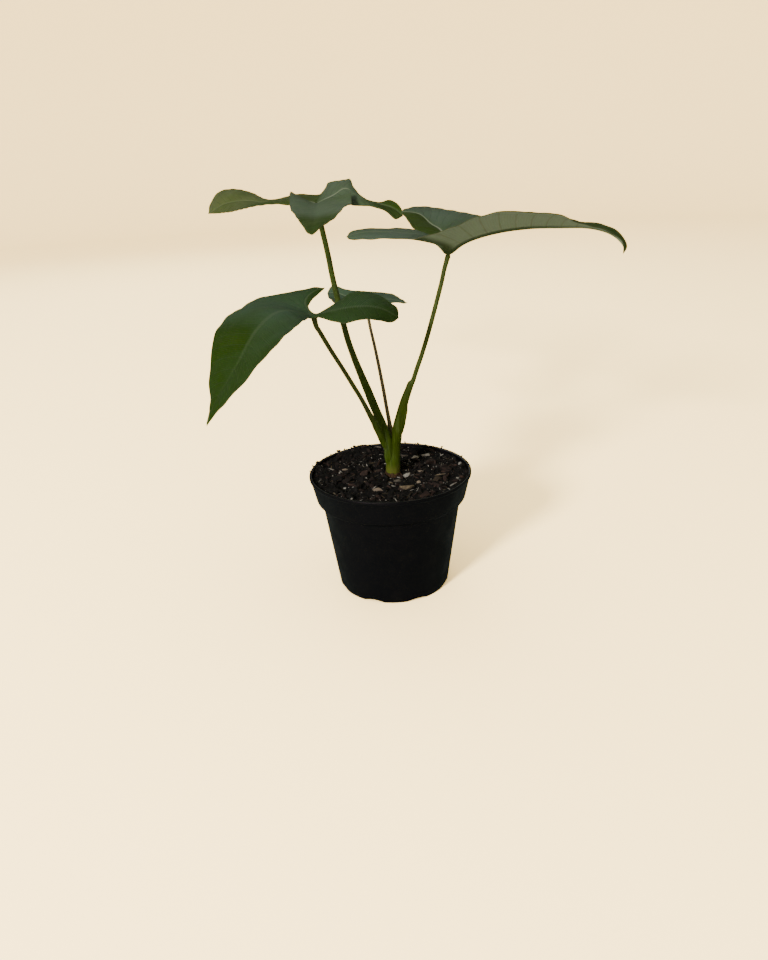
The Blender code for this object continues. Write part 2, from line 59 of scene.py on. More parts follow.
# Pot, in millimetres. Its collar widens from the body to the lip: the drop is how far its outer foot lies below its
# inner one, and the lean is how much narrower it gets for each millimetre down.
POT_HEIGHT = 77.3
RIM_RADIUS = 52.0
BASE_RADIUS = 36.2
WALL = 0.9
FLOOR = 1.2
BODY_TOP = 58.6
BODY_TOP_RADIUS = 44.7
COLLAR_FOOT = 61.6
COLLAR_FOOT_RADIUS = 48.1
COLLAR_DROP = 0.8
COLLAR_LEAN = 0.28
LIP_FOOT = 74.8
LIP_FOOT_RADIUS = 51.2
LIP_WIDTH = 1.5
LIP_ROUNDING = 0.5
LIP_STEP_ROUNDING = (0.3, 0.4)
INNER_LIP_ROUNDING = 0.6
INNER_ROUNDING = 1.0
SHOULDER_ROUNDING = 1.0
CORNER_RADIUS = 1.0
POT_SIDES = 240
DRAINS = 8
DRAIN_WIDTH = 15.0
DRAIN_RISE = 1.8
DRAIN_INNER_RADIUS = 27.0
DRAIN_CUT_BEYOND = 4.0
DRAIN_SIDES = 160

# Soil, in millimetres
SOIL_TOP = 74.2
SOIL_ROUGHNESS = 0.5
SOIL_EDGE_RISE = 1.0
BROAD_RIPPLE = (0.31, 0.27)
BROAD_RIPPLE_SHIFT = (1.3, -0.6)
FINE_RIPPLE = (0.41, 0.62)
FINE_RIPPLE_SHARE = 0.6
SOIL_SIDES = 200
SOIL_RINGS = 84
SOIL_LUMP = 0.9
SOIL_LUMP_SIZE = 5.0
SOIL_GRIT = 0.45
SOIL_GRIT_SIZE = 1.3
HOLE_RADIUS = 3.6
ROOM_AT_HOLE = 0.6
WALL_CLEARANCE = 0.25

# The noise of the lumps: its smoothness, how much finer each octave is, and the octaves. Then the slices of the
# noise that lumps and grit are read from
SOIL_LUMP_KIND = (0.7, 2.1, 4)
LUMP_SLICE = 3.0
GRIT_SLICE = 7.0

# The soil's side and underside, below its top: radius, z, and x of the ring's middle
SOIL_SIDE = [(COLLAR_FOOT_RADIUS - WALL - 0.3, COLLAR_FOOT + 0.5, 0),
             (BODY_TOP_RADIUS - WALL - 0.3, BODY_TOP + 0.9, 0),
             (BASE_RADIUS - WALL - 0.4, FLOOR + CORNER_RADIUS, 0), (BASE_RADIUS - WALL - 2.0, FLOOR + 0.3, 0),
             (0, FLOOR + 0.3, 0)]

# Where the soil is banked against the rim: x, y, rise and reach
BANKS = [(-19.5, 43.5, 3.0, 7.0), (-8.0, 47.0, 1.6, 5.0), (-33.0, 35.0, 1.6, 7.0), (-47.0, 11.0, 1.8, 6.0)]

# Crown, in millimetres
CROWN_X = 2.0
CROWN_FOOT = 66.0
SHEATH_STEP = 0.6
SHEATH_SIDES = 48
SHEATH_OVER_STEM = 0.06
SHEATH_LAP = 5.0
SHEATH_OVERHANG = 1.0
SHEATH_TAPER = 1.5
SHEATH_CLOSING = 0.35
FUNNEL_DEPTH = {"rear_left": 1.2, "right": 3.2, "front_left": 1.5, "rear": 0.8}
FUNNEL_REACH = {"rear_left": 5.5, "right": 4.2, "front_left": 5.5, "rear": 5.5}
STEM_INTO_FUNNEL = 1.5
STEM_TIP_SHARE = 0.55
STEM_TIP_TAPER = 1.8

# The torn dry ring round the crown at the soil, in millimetres: its section as steps out and up, and how much its
# tears and flares vary round it
DRY_RING_PLACE = (1.75, -0.2, 75.5)
DRY_RING_RADIUS = 4.3
DRY_RING_SIDES = 72
DRY_RING_PROFILE = [(-0.4, -1.6), (0.65, -1.6), (0.7, 0.0), (0.45, 1.5), (0.1, 1.5), (-0.4, 0.0)]
DRY_RING_TEARS = (0.2, 1.0)
DRY_RING_FLARES = (0.5, 1.3)
DRY_RING_SLANT = 0.10

# Leaves, in millimetres
ROW_STEP = 1.1
FEWEST_ROWS = 12
COLUMNS = 22
COLUMN_CROWDING = 1.6
CAMBER = 0.05
CAMBER_QUICKNESS = 4
CURVE_STEPS = 24
BLADE = 0.5
MARGIN_SHARE = 0.6
MARGIN_REACH = 3
RIB_HEIGHT = 1.5
RIB_HALF_WIDTH = 1.1
RIB_FADE = 60.0
RIB_TO_MARGIN = 2
GROOVE_DEPTH = 0.22
GROOVE_HALF_WIDTH = 0.6
VEIN_SPACING = 8.0
VEIN_LEAN = 0.30
VEIN_BEND = 1.3
PUFF = 0.16
PUFF_REACH = 6
MARGIN_WAVE = 0.35
WAVE_START = 25
WAVES = ((0.42, 0.9), (0.37, 0.4), (0.21, 0.5))
SEAM_REACH = 9.0
SEAM_ROUNDS = 40
TONE_ROUNDS = 60
UNRIBBED_ROUNDS = 160
FIXED_MARGIN = 0.3

# Ribs far out on a lobe: the share of their width and of their height that stays, and the share that fades
RIB_WIDTH_SHARES = (0.55, 0.45)
RIB_HEIGHT_SHARES = (0.25, 0.75)

# How much the blade is eased everywhere, more at the seams between lobes, and more where no rib shows. Then the
# most that it is eased in one round, and how strongly a rib holds it back
EASING = (0.10, 0.40, 0.35)
FULL_EASE = 0.5
RIB_HOLD = 5

# Stalks, in millimetres
STALK_SIDES = 28
SHEATH_POINTS = 3
WING_SPREAD = 0.055
WING_SIDE = 0.25
WING_FOOT = 98
WING_RISE = 12
WING_FALL = 3.5

# Each leaf has three lobes, listed counter-clockwise from above. A lobe has a rib, from the apex where the
# stalk meets the blade out to the lobe's tip, and a margin on its left and its right, seen along the rib.
# Sinus number i is the notch between lobe i and the next one.
LEAVES = {
    "rear_left": {
        "apex": (-45, 140, 234),
        "sinuses": [(-57, 145, 236), (-18, 90, 243), (-38, 180, 246)],
        "lobes": [
            {
                "rib": [(-61, 167, 236), (-76, 188, 234), (-91, 207, 233), (-110, 228, 234), (-131, 250, 231),
                        (-149, 264, 223)],
                "left": [(-65, 152, 233), (-79, 158, 234), (-97, 174, 232), (-117, 210, 227),
                         (-135, 246, 224)],
                "right": [(-38, 186, 242), (-43, 192, 238), (-53, 195, 238), (-64, 201, 238), (-89, 226, 233),
                          (-106.5, 248, 239.5), (-124, 266, 242.5), (-140.5, 278, 240), (-148, 276, 230)],
            },
            {
                "rib": [(-42, 95, 232), (-40, 50, 229), (-39.5, 20, 227), (-39.5, 3, 224)],
                "left": [(-17.5, 70, 236.5), (-21, 50, 236), (-27, 27, 231), (-34, 10, 227.5)],
                "right": [(-62, 132, 243), (-59.5, 92, 235), (-53, 56, 231.5), (-46.5, 29, 227), (-43, 11, 225)],
            },
            {
                "rib": [(-32, 128, 239), (-22, 116, 244), (-12, 102, 238), (-2, 92, 235), (9, 83, 232),
                        (16, 75, 227)],
                "left": [(-34.5, 174, 247.5), (-23, 156, 249), (-18.5, 142, 248.5), (-16, 124, 243.5),
                         (-8, 110, 236), (1, 98, 235), (9, 90, 236.5), (15, 81, 232)],
                "right": [(-18, 87, 235), (-10, 82, 234), (-2, 76, 233), (6, 71, 230), (11, 69, 226)],
            },
        ],
    },
    "right": {
        "apex": (39, -6, 213),
        "sinuses": [(66, 24, 227), (31, -1, 220), (18, -35, 223)],
        "lobes": [
            {
                "rib": [(50, -10, 219), (65, -15, 223), (82, -21, 225), (98, -26, 225), (112, -30, 224.5),
                        (123.5, -33, 221), (130.5, -35, 214.5), (129.5, -36, 210.5)],
                "left": [(89, 17, 225), (105, 6, 225), (118, -8, 224.5), (124, -18, 224), (130, -27, 220),
                         (132, -33, 214.5)],
                "right": [(29, -42, 226), (39, -47, 230), (51, -49, 234), (63, -52, 236), (77, -53, 235),
                          (91, -52, 233), (106, -46, 227), (120, -40, 223), (128, -37, 217)],
            },
            {
                "rib": [(36, 10, 222), (31, 28, 225), (25, 43, 230), (14, 49, 231.5)],
                "left": [(20, 12, 224), (17, 30, 228), (15, 43, 230)],
                "right": [(61, 36, 228), (48, 54, 230), (34, 69, 232), (21, 64, 233)],
            },
            {
                "rib": [(25, -12, 222), (8, -17, 225), (-9, -18, 226), (-19, -16, 224)],
                "left": [(13, -34, 223), (2, -33, 223.5), (-9, -28, 223.5), (-17, -21, 223)],
                "right": [(19, -2, 225), (8, -5, 226), (-5, -8, 227), (-16, -11, 226)],
            },
        ],
    },
    "front_left": {
        "apex": (-39, -35, 185),
        "sinuses": [(-40.5, -41, 185), (-39.5, -32, 185.5), (-68, 6, 190)],
        "lobes": [
            {
                "rib": [(-55, -52, 191), (-66, -70, 184), (-74, -88, 171), (-82, -99, 161),
                        (-88.8, -105, 149.6), (-89.3, -105, 146.6)],
                "left": [(-44, -76, 188), (-55, -104, 182), (-66.5, -115, 171), (-77, -113.5, 160.5),
                         (-84, -107.5, 153)],
                "right": [(-75, 3, 189), (-85.5, -26, 186), (-90.3, -42, 182.3), (-91.3, -60, 176),
                          (-90.5, -80, 163), (-88.7, -94, 155), (-87.8, -103, 151.8)],
            },
            {
                "rib": [(-35, -42, 187), (-27, -47, 189), (-14, -49, 191), (-1, -50, 190), (7.5, -49, 184)],
                "left": [(-34, -33, 186.5), (-26, -29, 190), (-17, -26, 195), (-6, -29, 195),
                         (5, -38, 189.5), (7.5, -43, 187)],
                "right": [(-36, -46, 186), (-28.5, -56, 185.5), (-21, -66, 186), (-13.5, -67, 187),
                          (-6, -66, 187.5), (3, -55, 183)],
            },
            {
                "rib": [(-43, -26, 187), (-45, -18, 189), (-44, -8, 191), (-40, -1, 193), (-34, 2, 194)],
                "left": [(-58, 8, 191), (-50, 9, 192), (-40, 6, 194)],
                "right": [(-42.5, -24, 187.5), (-40.5, -14, 190), (-37, -6, 192)],
            },
        ],
    },
    "rear": {
        "apex": (-12, 128, 162),
        "sinuses": [(-28, 128, 164), (-10, 112, 161), (0, 139, 168)],
        "lobes": [
            {
                "rib": [(-24, 148, 163), (-35, 164, 165), (-43, 172, 163.5)],
                "left": [(-40, 152, 162.5)],
                "right": [(-16, 150, 168), (-27, 160, 168), (-38, 170, 170)],
            },
            {
                "rib": [(-23, 112, 164), (-34, 99, 168)],
                "left": [(-22, 100, 163)],
                "right": [(-38.5, 124, 168.5)],
            },
            {
                "rib": [(2, 113, 167), (18, 95, 167)],
                "left": [(9, 127, 168), (14, 110, 167)],
                "right": [(-2, 100, 165), (10, 96, 167)],
            },
        ],
    },
}

# How each lobe looks, in the same order: painted sheen along the left half and along the right half, then how much
# its rib and its veins show. In the painted sheen 0 is pale olive, 0.5 deep green and 1 a blue-grey painted sheen
# of the glossy top seen at a grazing angle, and None repeats the left.
LOBE_LOOKS = {
    "rear_left": [((0.35, 0.25, 0.15, 0.10), (0.35, 0.25, 0.10, 0.05), 1.0, 0.5),
                  ((0.80, 1.05, 1.15, 0.50, 0.44), None, 0.0, 0.35),
                  ((1.05, 1.00, 0.66, 0.48), (0.98, 0.92, 0.55, 0.42), 1.0, 0.6)],
    "right": [((0.6, 0.5, 0.5), None, 1.0, 0.8),
              ((0.55, 0.50, 0.50), (0.75, 0.90, 0.80), 1.0, 0.5),
              ((0.95, 1.0, 0.95, 0.8), None, 0.3, 0.4)],
    "front_left": [((0.95, 0.90, 0.58, 0.49, 0.48), (0.98, 0.88, 0.48, 0.46, 0.50), 0.12, 0.35),
                   ((0.60, 0.70, 0.70, 0.50), (0.60, 0.56, 0.53, 0.47), 0.12, 0.4),
                   ((0.75, 0.70, 0.60), (0.55, 0.50, 0.50), 0.15, 0.3)],
    "rear": [((0.8, 0.7), None, 0.4, 0.4)] * 3,
}

# Each leaf's colours: its top from pale olive over deep green to the blue-grey of a painted sheen, its underside,
# then the width of the midrib's colour on top and the gloss there
LEAF_COLOURS = {
    "rear_left": (((0.175, 0.220, 0.078), (0.048, 0.100, 0.004), (0.155, 0.228, 0.138)),
                  (0.165, 0.215, 0.090), 1.6, 0.21),
    "right": (((0.100, 0.145, 0.020), (0.052, 0.098, 0.004), (0.145, 0.215, 0.155)),
              (0.345, 0.462, 0.325), 1.1, 0.21),
    "front_left": (((0.075, 0.120, 0.014), (0.030, 0.076, 0.002), (0.082, 0.160, 0.092)),
                   (0.155, 0.205, 0.085), 1.1, 0.13),
    "rear": (((0.095, 0.150, 0.075), (0.085, 0.150, 0.080), (0.112, 0.195, 0.135)),
             (0.140, 0.175, 0.090), 1.1, 0.21),
}
TOP_SKIN = {"vein": (0.070, 0.115, 0.055), "rib": (0.38, 0.44, 0.30), "margin": (0.12, 0.13, 0.06),
            "roughness": 0.36, "relief": -1.0}
# On the underside the midrib's dark green, over a wide band, is painted shade along the keel
# The throat's dark green is painted shade where the blade draws into its stalk
UNDER_SKIN = {"vein": (0.25, 0.28, 0.13), "rib": (0.045, 0.080, 0.012), "rib_width": 2.4,
              "margin": (0.25, 0.26, 0.13), "roughness": 0.50, "relief": 1.0, "gloss": 0.2,
              "painted_throat_shade": (0.055, 0.095, 0.012)}

# Each stalk runs from inside the crown to the apex of its leaf. Radii are read at the same points. The wing
# is the free edge of the sheath: its height at the same points, and the way it faces round the stalk.
STALKS = {
    "rear_left": {
        "line": [(0.6, 0.5, 90), (-1.6, 1, 99), (-4.2, 4.5, 107.5), (-8, 8.5, 117), (-12, 12, 127.5),
                 (-15, 16.5, 134.5), (-20.7, 27, 148), (-25.2, 41, 160.5), (-32.5, 73, 188), (-35.5, 91.5, 200),
                 (-38, 107, 208.5), (-40.1, 118, 215.5), (-45, 140, 234)],
        "radii": [2.7, 2.9, 2.9, 2.65, 2.6, 2.35, 2.0, 1.95, 1.9, 1.9, 1.9, 1.95, 2.0],
    },
    "right": {
        "line": [(2.6, -1, 90), (4.2, -1.8, 99), (6, -2.4, 107), (8.1, -3.3, 115.7), (10.4, -4.5, 124),
                 (13.1, -5.6, 131.6), (14.6, -6.2, 135.5), (16, -6.5, 137.5), (17.2, -7, 141), (19.2, -7.7, 147),
                 (21.7, -8.2, 154), (26.3, -8.8, 168.5), (33.2, -8.1, 192.5), (35.7, -7.4, 202.5),
                 (37.7, -6.7, 209), (39, -6, 213)],
        "radii": [3.6, 3.5, 3.3, 2.9, 2.6, 2.2, 2.05, 1.5, 1.4, 1.40, 1.35, 1.35, 1.30, 1.30, 1.5, 2.2],
    },
    "front_left": {
        "line": [(-0.2, -1.8, 90), (-4.2, -2.2, 99), (-6.9, -4.2, 107), (-12.6, -8, 121), (-16, -10.5, 129.3),
                 (-20, -13, 137.7), (-25.7, -19.3, 150.6), (-31.4, -25.5, 163), (-36.4, -31.4, 174.8),
                 (-38.1, -32.9, 178.6), (-39, -35, 185)],
        "radii": [2.0, 2.1, 2.0, 1.5, 1.35, 1.35, 1.3, 1.3, 1.3, 1.4, 1.7],
    },
    "rear": {
        "line": [(1.5, 3, 90), (1.4, 5, 99), (0.9, 8.4, 106), (0.1, 13, 111), (-0.8, 19.2, 116), (-2, 29, 123),
                 (-4.7, 54, 135), (-6.9, 74.3, 143), (-9.3, 96, 150.7), (-12, 128, 162)],
        "radii": [1.6, 1.8, 1.6, 1.25, 1.2, 1.2, 1.15, 1.1, 1.1, 1.2],
    },
}

# The sheath at the foot of each stalk, as x, y, z and radius, up to where the stalk leaves the crown. The right
# stalk's sheath wraps the others at the soil, and they part from it higher up.
SHEATHS = {
    "rear_left": [(0.2, -0.2, 66, 2.2), (0.2, -0.4, 78, 2.0), (-0.4, -1, 83, 2.1), (-0.5, -1.4, 87, 2.8),
                  (-0.4, -1.3, 91, 2.9), (-0.4, -0.8, 95, 2.85), (-1, 0.3, 99, 3), (-2.6, 2.4, 103, 2.95),
                  (-4.2, 4.5, 107.5, 2.9)],
    "right": [(1.75, -0.2, 66, 4.2), (1.75, -0.2, 75, 4.25), (1.95, -0.2, 80, 4.5), (2.6, -0.1, 85, 4.2),
              (3.3, 0, 90, 3.6), (4.1, -0.6, 94.5, 3.1), (5, -1.6, 99, 3.05), (5.3, -2.1, 103, 3.15),
              (6, -2.4, 107, 3.3)],
    "front_left": [(-0.2, -1, 66, 1.4), (-0.6, -1.2, 84, 1.4), (-1.2, -1.6, 91, 1.5), (-2.4, -1.9, 95, 1.9),
                   (-4.2, -2.2, 99, 2.1), (-6.9, -4.2, 107, 2)],
    "rear": [(2, 2, 66, 1.8), (1.9, 2.4, 90, 1.8), (1.6, 4.6, 99, 1.7), (0.9, 8.4, 106, 1.4)],
}

# Each stalk's wing: the height where it ends, and how far it stands out
WINGS = {"rear_left": (128, 0.9), "right": (123, 1.1), "front_left": (112, 0.5), "rear": (110, 0.4)}

# Each stalk's colour at its foot and further up, and the heights between which it changes
STALK_COLOURS = {
    "rear_left": ((0.080, 0.138, 0.014), (0.080, 0.116, 0.026), (124, 150)),
    "right": ((0.078, 0.128, 0.010), (0.100, 0.135, 0.034), (112, 165)),
    "front_left": ((0.080, 0.136, 0.012), (0.105, 0.130, 0.036), (104, 122)),
    "rear": ((0.160, 0.150, 0.060), (0.260, 0.210, 0.120), (100, 116)),
}

# The larger chips that show on the soil: x, y, length, turn in degrees, and a kind
CHIPS_THAT_SHOW = [
    (9.7, -24.5, 9.5, 8, "tan"), (-7.3, -28.0, 10.0, -28, "pale"), (-20.9, 35.0, 6.0, -35, "pale"),
    (-28.9, 8.8, 5.5, -20, "pale"), (10.4, 31.0, 5.5, 15, "grey"), (26.7, 15.0, 10.0, 35, "brown"),
    (30.4, -12.4, 9.0, 60, "olive"), (28.0, -24.2, 9.0, -40, "brown"), (19.6, 0.7, 4.0, 0, "pale"),
    (46.1, 9.9, 4.5, 75, "white"), (41.9, -14.4, 4.0, 20, "white"), (-21.8, -21.7, 4.5, 45, "white"),
    (10.5, -4.0, 6.5, 50, "white"), (4.4, -13.1, 6.0, -25, "grey"), (16.5, -15.7, 4.5, 10, "pale"),
    (20.1, 39.0, 13.0, 20, "dark"), (17.4, 26.3, 5.5, -10, "white"), (24.5, 28.5, 6.5, 5, "white"),
    (-11.9, -18.9, 6.0, -60, "brown"), (29.0, 37.0, 8.0, -30, "brown"), (-34.0, -6.0, 8.0, 30, "dark"),
    (-15.0, 12.0, 7.5, 70, "dark"), (36.0, 2.0, 8.5, -15, "brown"), (-30.0, 24.0, 7.0, 10, "dark"),
]

# Kinds of larger chips: the tint, the corners each is cut from, and how round it is
CHIP_KINDS = {"tan": (0.93, 18, 0.10), "pale": (0.99, 18, 0.10), "grey": (0.80, 18, 0.3), "olive": (0.66, 18, 0.10),
              "brown": (0.5, 18, 0.10), "dark": (0.15, 18, 0.10), "white": (1.0, 14, 0.3)}
WHITE_TINTS = (0.6, 1.0)

# Width and height of larger chips as shares of their length: bark, lumps, and dark pieces. Then their tilts
BARK_SHARES = ((0.4, 0.6), (0.28, 0.4))
LUMP_SHARES = ((0.45, 0.7), (0.35, 0.5))
DARK_SHARES = (0.5, 0.3)
CHIP_TILTS = ((-0.18, 0.18), (-0.15, 0.15))

# How far corners of broken pieces lie from the middle, how pieces vary, and how far they stand out of the soil
CHIP_DEPTHS = (0.88, 1.0)
CHIP_VARIETY = (0.75, 1.2)
CHIP_LIFT = 0.25

# Crumbs left on the lip: middle of the stretch in degrees, its spread, and how many
RIM_CRUMBS = [(112, 9, 30), (140, 12, 14), (172, 8, 12), (60, 18, 8), (20, 12, 5), (300, 60, 5)]

# Those crumbs: the smallest size and how much larger the largest is, shares of that size, corners, roundness, how
# far in from the rim they lie as a share of the lip, their tilt, and their tints
CRUMB_SIZES = (0.8, 2.1)
CRUMB_SHARES = (1.0, 0.8, 0.6)
CRUMB_SHAPE = (10, 0.5)
CRUMB_PLACES = (0.15, 1.2)
CRUMB_TILT = (-0.5, 0.5)
CRUMB_TINTS = (0.1, 0.5)

# Shapes to strew: how many, their size, the corners each is cut from, and how round it is
SHAPES = {
    "bark_blocks": (8, (1.0, 0.55, 0.34), 14, 0.15),
    "bark_slivers": (4, (1.0, 0.16, 0.10), 12, 0.3),
    "grains": (4, (1.0, 0.85, 0.7), 12, 0.7),
    "perlite_beads": (6, (1.0, 0.62, 0.42), 12, 0.35),
}

# What is strewn: its shapes, how many, the room kept from the soil's edges, smallest and largest size, tilt, lift,
# the palest tint, and the finish
STREWN = {
    "large_bark": ("bark_blocks", 130, 2.6, (3.4, 8.0), 0.55, 0.12, 0.60, "bark"),
    "small_bark": ("bark_blocks", 620, 0.9, (1.2, 5.0), 0.8, 0.12, 0.60, "bark"),
    "bark_fibres": ("bark_slivers", 300, 1.6, (2.0, 8.0), 0.4, 0.10, 0.97, "bark"),
    "soil_crumbs": ("grains", 3200, 0.4, (0.4, 1.5), 1.5, 0.10, 0.40, "bark"),
    "perlite_grains": ("perlite_beads", 60, 1.6, (1.0, 2.8), 1.5, 0.15, 1.0, "perlite"),
    "perlite_flecks": ("grains", 380, 0.6, (0.3, 0.9), 1.5, 0.35, 0.9, "perlite"),
    "pale_shreds": ("bark_slivers", 60, 2.2, (2.2, 6.5), 0.6, 0.14, 1.0, "perlite"),
}
FIRST_SEED = 3

# Where colours change, in metres: radii and heights of the painted highlight on the inner lip, and heights at the
# foot of the stalks
LIP_HIGHLIGHT_RADII = (0.0508, 0.0514)
LIP_HIGHLIGHT_HEIGHTS = (0.0764, 0.0771)
PALE_FOOT = (0.0775, 0.0840)
SOILED_FOOT = (0.0742, 0.0762)

# Where colours fade on a blade, in millimetres: the midrib and the painted shade of the throat along the blade, the
# edge from its margin
MIDRIB_FADE = (35.0, 90.0)
THROAT_SHADE_FADE = (1.5, 7.0)
EDGE_FADE = (0.15, 0.55)

# Floor, in metres, with its inner rings as radius and z
FLOOR_RINGS = [(0, 0.0), (0.8, 0.0), (1.8, 0.0)]
FLOOR_FLAT = 2.9
FLOOR_BEND = 0.9
FLOOR_HEIGHT = 3.4
FLOOR_SIDES = 96
FLOOR_BEND_RINGS = 25

# Floor and surroundings: how much brighter the floor shows than its own light, then colours of both to the eye
# and in reflections
FLOOR_GLOW = 8.0
FLOOR_TO_EYE = (1.04, 0.79, 0.37)
FLOOR_IN_GLOSS = (0.28, 0.34, 0.31)
AIR = (0.33, 0.32, 0.30)
AIR_TO_EYE = (2.4, 1.95, 1.2)
AIR_IN_GLOSS = (0.09, 0.10, 0.10)

# Camera, with its place and lens in millimetres and its nearest distance in metres
CAMERA_PLACE = (-4.22, -470.92, 265.33)
CAMERA_PITCH = math.radians(22.4706)
CAMERA_ROLL = math.radians(2.5554)
CAMERA_LENS = 29.53
CAMERA_SENSOR = 36.0
CAMERA_NEAR = 0.02

# Lamp: its place in millimetres, how many times further off it stands, and in metres the place that it lights
LAMP_PLACE = (-523.9, -757.3, 544.4)
LAMP_DISTANCE = 2.4
LIT_PLACE = (0, 0.05, 0.12)


# Curves and meshes

def smooth_curve(points, count):
    """A smooth curve through the points, read at count + 1 places evenly along its length."""
    p = np.asarray(points, float)
    p = np.vstack([2 * p[0] - p[1], p, 2 * p[-1] - p[-2]])
    t = np.linspace(0, 1, CURVE_STEPS, endpoint=False)[:, None]
    runs = []
    for a, b, c, d in zip(p, p[1:], p[2:], p[3:]):
        square = (2 * a - 5 * b + 4 * c - d) * t**2
        cube = (3 * b - a - 3 * c + d) * t**3
        runs.append(0.5 * (2 * b + (c - a) * t + square + cube))
    fine = np.vstack(runs + [p[-2:-1]])
    run = run_along(fine)
    places = np.linspace(0, run[-1], count + 1)
    return np.stack([np.interp(places, run, column) for column in fine.T], 1)


def run_along(points):
    """How far along its line each point lies."""
    return np.append(0, np.cumsum(np.linalg.norm(np.diff(points[:, :3], axis=0), axis=1)))


def length_of(points):
    return np.linalg.norm(np.diff(np.asarray(points, float)[:, :3], axis=0), axis=1).sum()


def add_object(name, data, *finishes):
    obj = bpy.data.objects.new(name, data)
    bpy.context.scene.collection.objects.link(obj)
    for finish in finishes:
        data.materials.append(finish)
    return obj


def mesh_of(name, points, faces, edges=()):
    """A mesh from points in millimetres."""
    mesh = bpy.data.meshes.new(name)
    mesh.from_pydata(np.asarray(points, float) * MM, edges, [list(map(int, face)) for face in faces])
    mesh.update()
    return mesh


def baked(obj):
    """A plain mesh object made from the evaluated one, which is removed."""
    bpy.context.view_layer.update()
    graph = bpy.context.evaluated_depsgraph_get()
    mesh = bpy.data.meshes.new_from_object(obj.evaluated_get(graph))
    name = obj.name
    bpy.data.objects.remove(obj, do_unlink=True)
    mesh.name = name
    return add_object(name, mesh)


def store(mesh, name, values):
    """A value or a vector at each point of the mesh."""
    values = np.asarray(values, np.float32)
    kind, field = ("FLOAT", "value") if values.ndim == 1 else ("FLOAT_VECTOR", "vector")
    mesh.attributes.new(name, kind, "POINT").data.foreach_set(field, values.ravel())


def shade(obj, degrees):
    obj.data.shade_smooth()
    obj.data.set_sharp_from_angle(angle=math.radians(degrees))


def turns(sides):
    """Angles evenly round a circle."""
    return [2 * math.pi * k / sides for k in range(sides)]


def rings_of(count, size):
    """Point numbers of rings that are all of one size."""
    return [list(range(k * size, (k + 1) * size)) for k in range(count)]


def bands(rings):
    """Faces between neighbouring rings of point numbers. A ring shrunk to one point gives triangles."""
    faces = []
    for low, high in zip(rings, rings[1:]):
        for k in range(len(low)):
            n = (k + 1) % len(low)
            faces.append(list(dict.fromkeys([low[k], low[n], high[n], high[k]])))
    return faces


def turned_over(faces):
    """The faces run the other way, each from the same first point."""
    return [face[:1] + face[:0:-1] for face in faces]


def lathe(profile, sides, centres=None):
    """Points and faces of a turned profile of (radius, z), whose ends may lie on the axis."""
    points, rings = [], []
    for number, (radius, z) in enumerate(profile):
        x = centres[number] if centres else 0.0
        if radius == 0:
            rings.append([len(points)] * sides)
            points.append((x, 0, z))
            continue
        rings.append(list(range(len(points), len(points) + sides)))
        points += [(x + radius * math.cos(angle), radius * math.sin(angle), z) for angle in turns(sides)]
    return points, bands(rings)


def filleted(corners):
    """A profile of (radius, z, rounding) with each corner rounded."""
    out = []
    for number, (r, z, rounding) in enumerate(corners):
        here = np.array([r, z], float)
        if rounding == 0 or number in (0, len(corners) - 1):
            out.append(here)
            continue
        back = np.array(corners[number - 1][:2], float) - here
        ahead = np.array(corners[number + 1][:2], float) - here
        cut = min(rounding, LONGEST_CUT * np.linalg.norm(back), LONGEST_CUT * np.linalg.norm(ahead))
        start = here + back / np.linalg.norm(back) * cut
        end = here + ahead / np.linalg.norm(ahead) * cut
        for t in np.linspace(0, 1, FILLET_STEPS + 1):
            out.append((1 - t) ** 2 * start + 2 * t * (1 - t) * here + t**2 * end)
    return [(float(r), float(z)) for r, z in out]


# Node trees

def plug(tree, socket, value):
    """Links the socket to a node's output, or gives it a plain value."""
    if isinstance(value, bpy.types.NodeSocket):
        tree.links.new(value, socket)
    else:
        socket.default_value = value


def add_node(tree, kind, inputs=None, **settings):
    """A node with its settings and its inputs, by name or by number."""
    node = tree.nodes.new(kind)
    for key, value in settings.items():
        setattr(node, key, value)
    for key, value in (inputs or {}).items():
        plug(tree, node.inputs[key], value)
    return node


def made_by(tree, kind, inputs=None, output=0, **settings):
    """One output of a new node."""
    return add_node(tree, kind, inputs, **settings).outputs[output]


def maths(tree, operation, first, second=0.0, third=0.0):
    return made_by(tree, "ShaderNodeMath", {0: first, 1: second, 2: third}, operation=operation)


def times(tree, first, second):
    return maths(tree, "MULTIPLY", first, second)


def from_whole(tree, value):
    """How far the value is from the nearest whole number."""
    shifted = maths(tree, "FRACT", maths(tree, "ADD", value, 0.5))
    return maths(tree, "ABSOLUTE", maths(tree, "SUBTRACT", shifted, 0.5))


def mapped(tree, value, low, high, to_low=0.0, to_high=1.0):
    """The value carried smoothly from one range to another, and held at its ends."""
    return made_by(tree, "ShaderNodeMapRange", {0: value, 1: low, 2: high, 3: to_low, 4: to_high},
                   interpolation_type="SMOOTHSTEP")


def vector(tree, x=0.0, y=0.0, z=0.0):
    return made_by(tree, "ShaderNodeCombineXYZ", {0: x, 1: y, 2: z})


def apart(tree, value):
    """The three parts of a vector."""
    return add_node(tree, "ShaderNodeSeparateXYZ", {0: value}).outputs


def new_tree(name, kind, inputs, output):
    """A node group with named inputs and one output, then the sockets to start from and the one to end at."""
    tree = bpy.data.node_groups.new(name, kind)
    for label, socket, value in inputs:
        made = tree.interface.new_socket(label, in_out="INPUT", socket_type="NodeSocket" + socket)
        if value is not None:
            made.default_value = value
    label, socket = output
    tree.interface.new_socket(label, in_out="OUTPUT", socket_type="NodeSocket" + socket)
    return tree, tree.nodes.new("NodeGroupInput").outputs, tree.nodes.new("NodeGroupOutput").inputs[0]


# Shader nodes

def noise_at(tree, place, scale, detail, roughness=0.5):
    return made_by(tree, "ShaderNodeTexNoise", {"Vector": place, "Scale": scale, "Detail": detail,
                                                "Roughness": roughness}, "Fac")


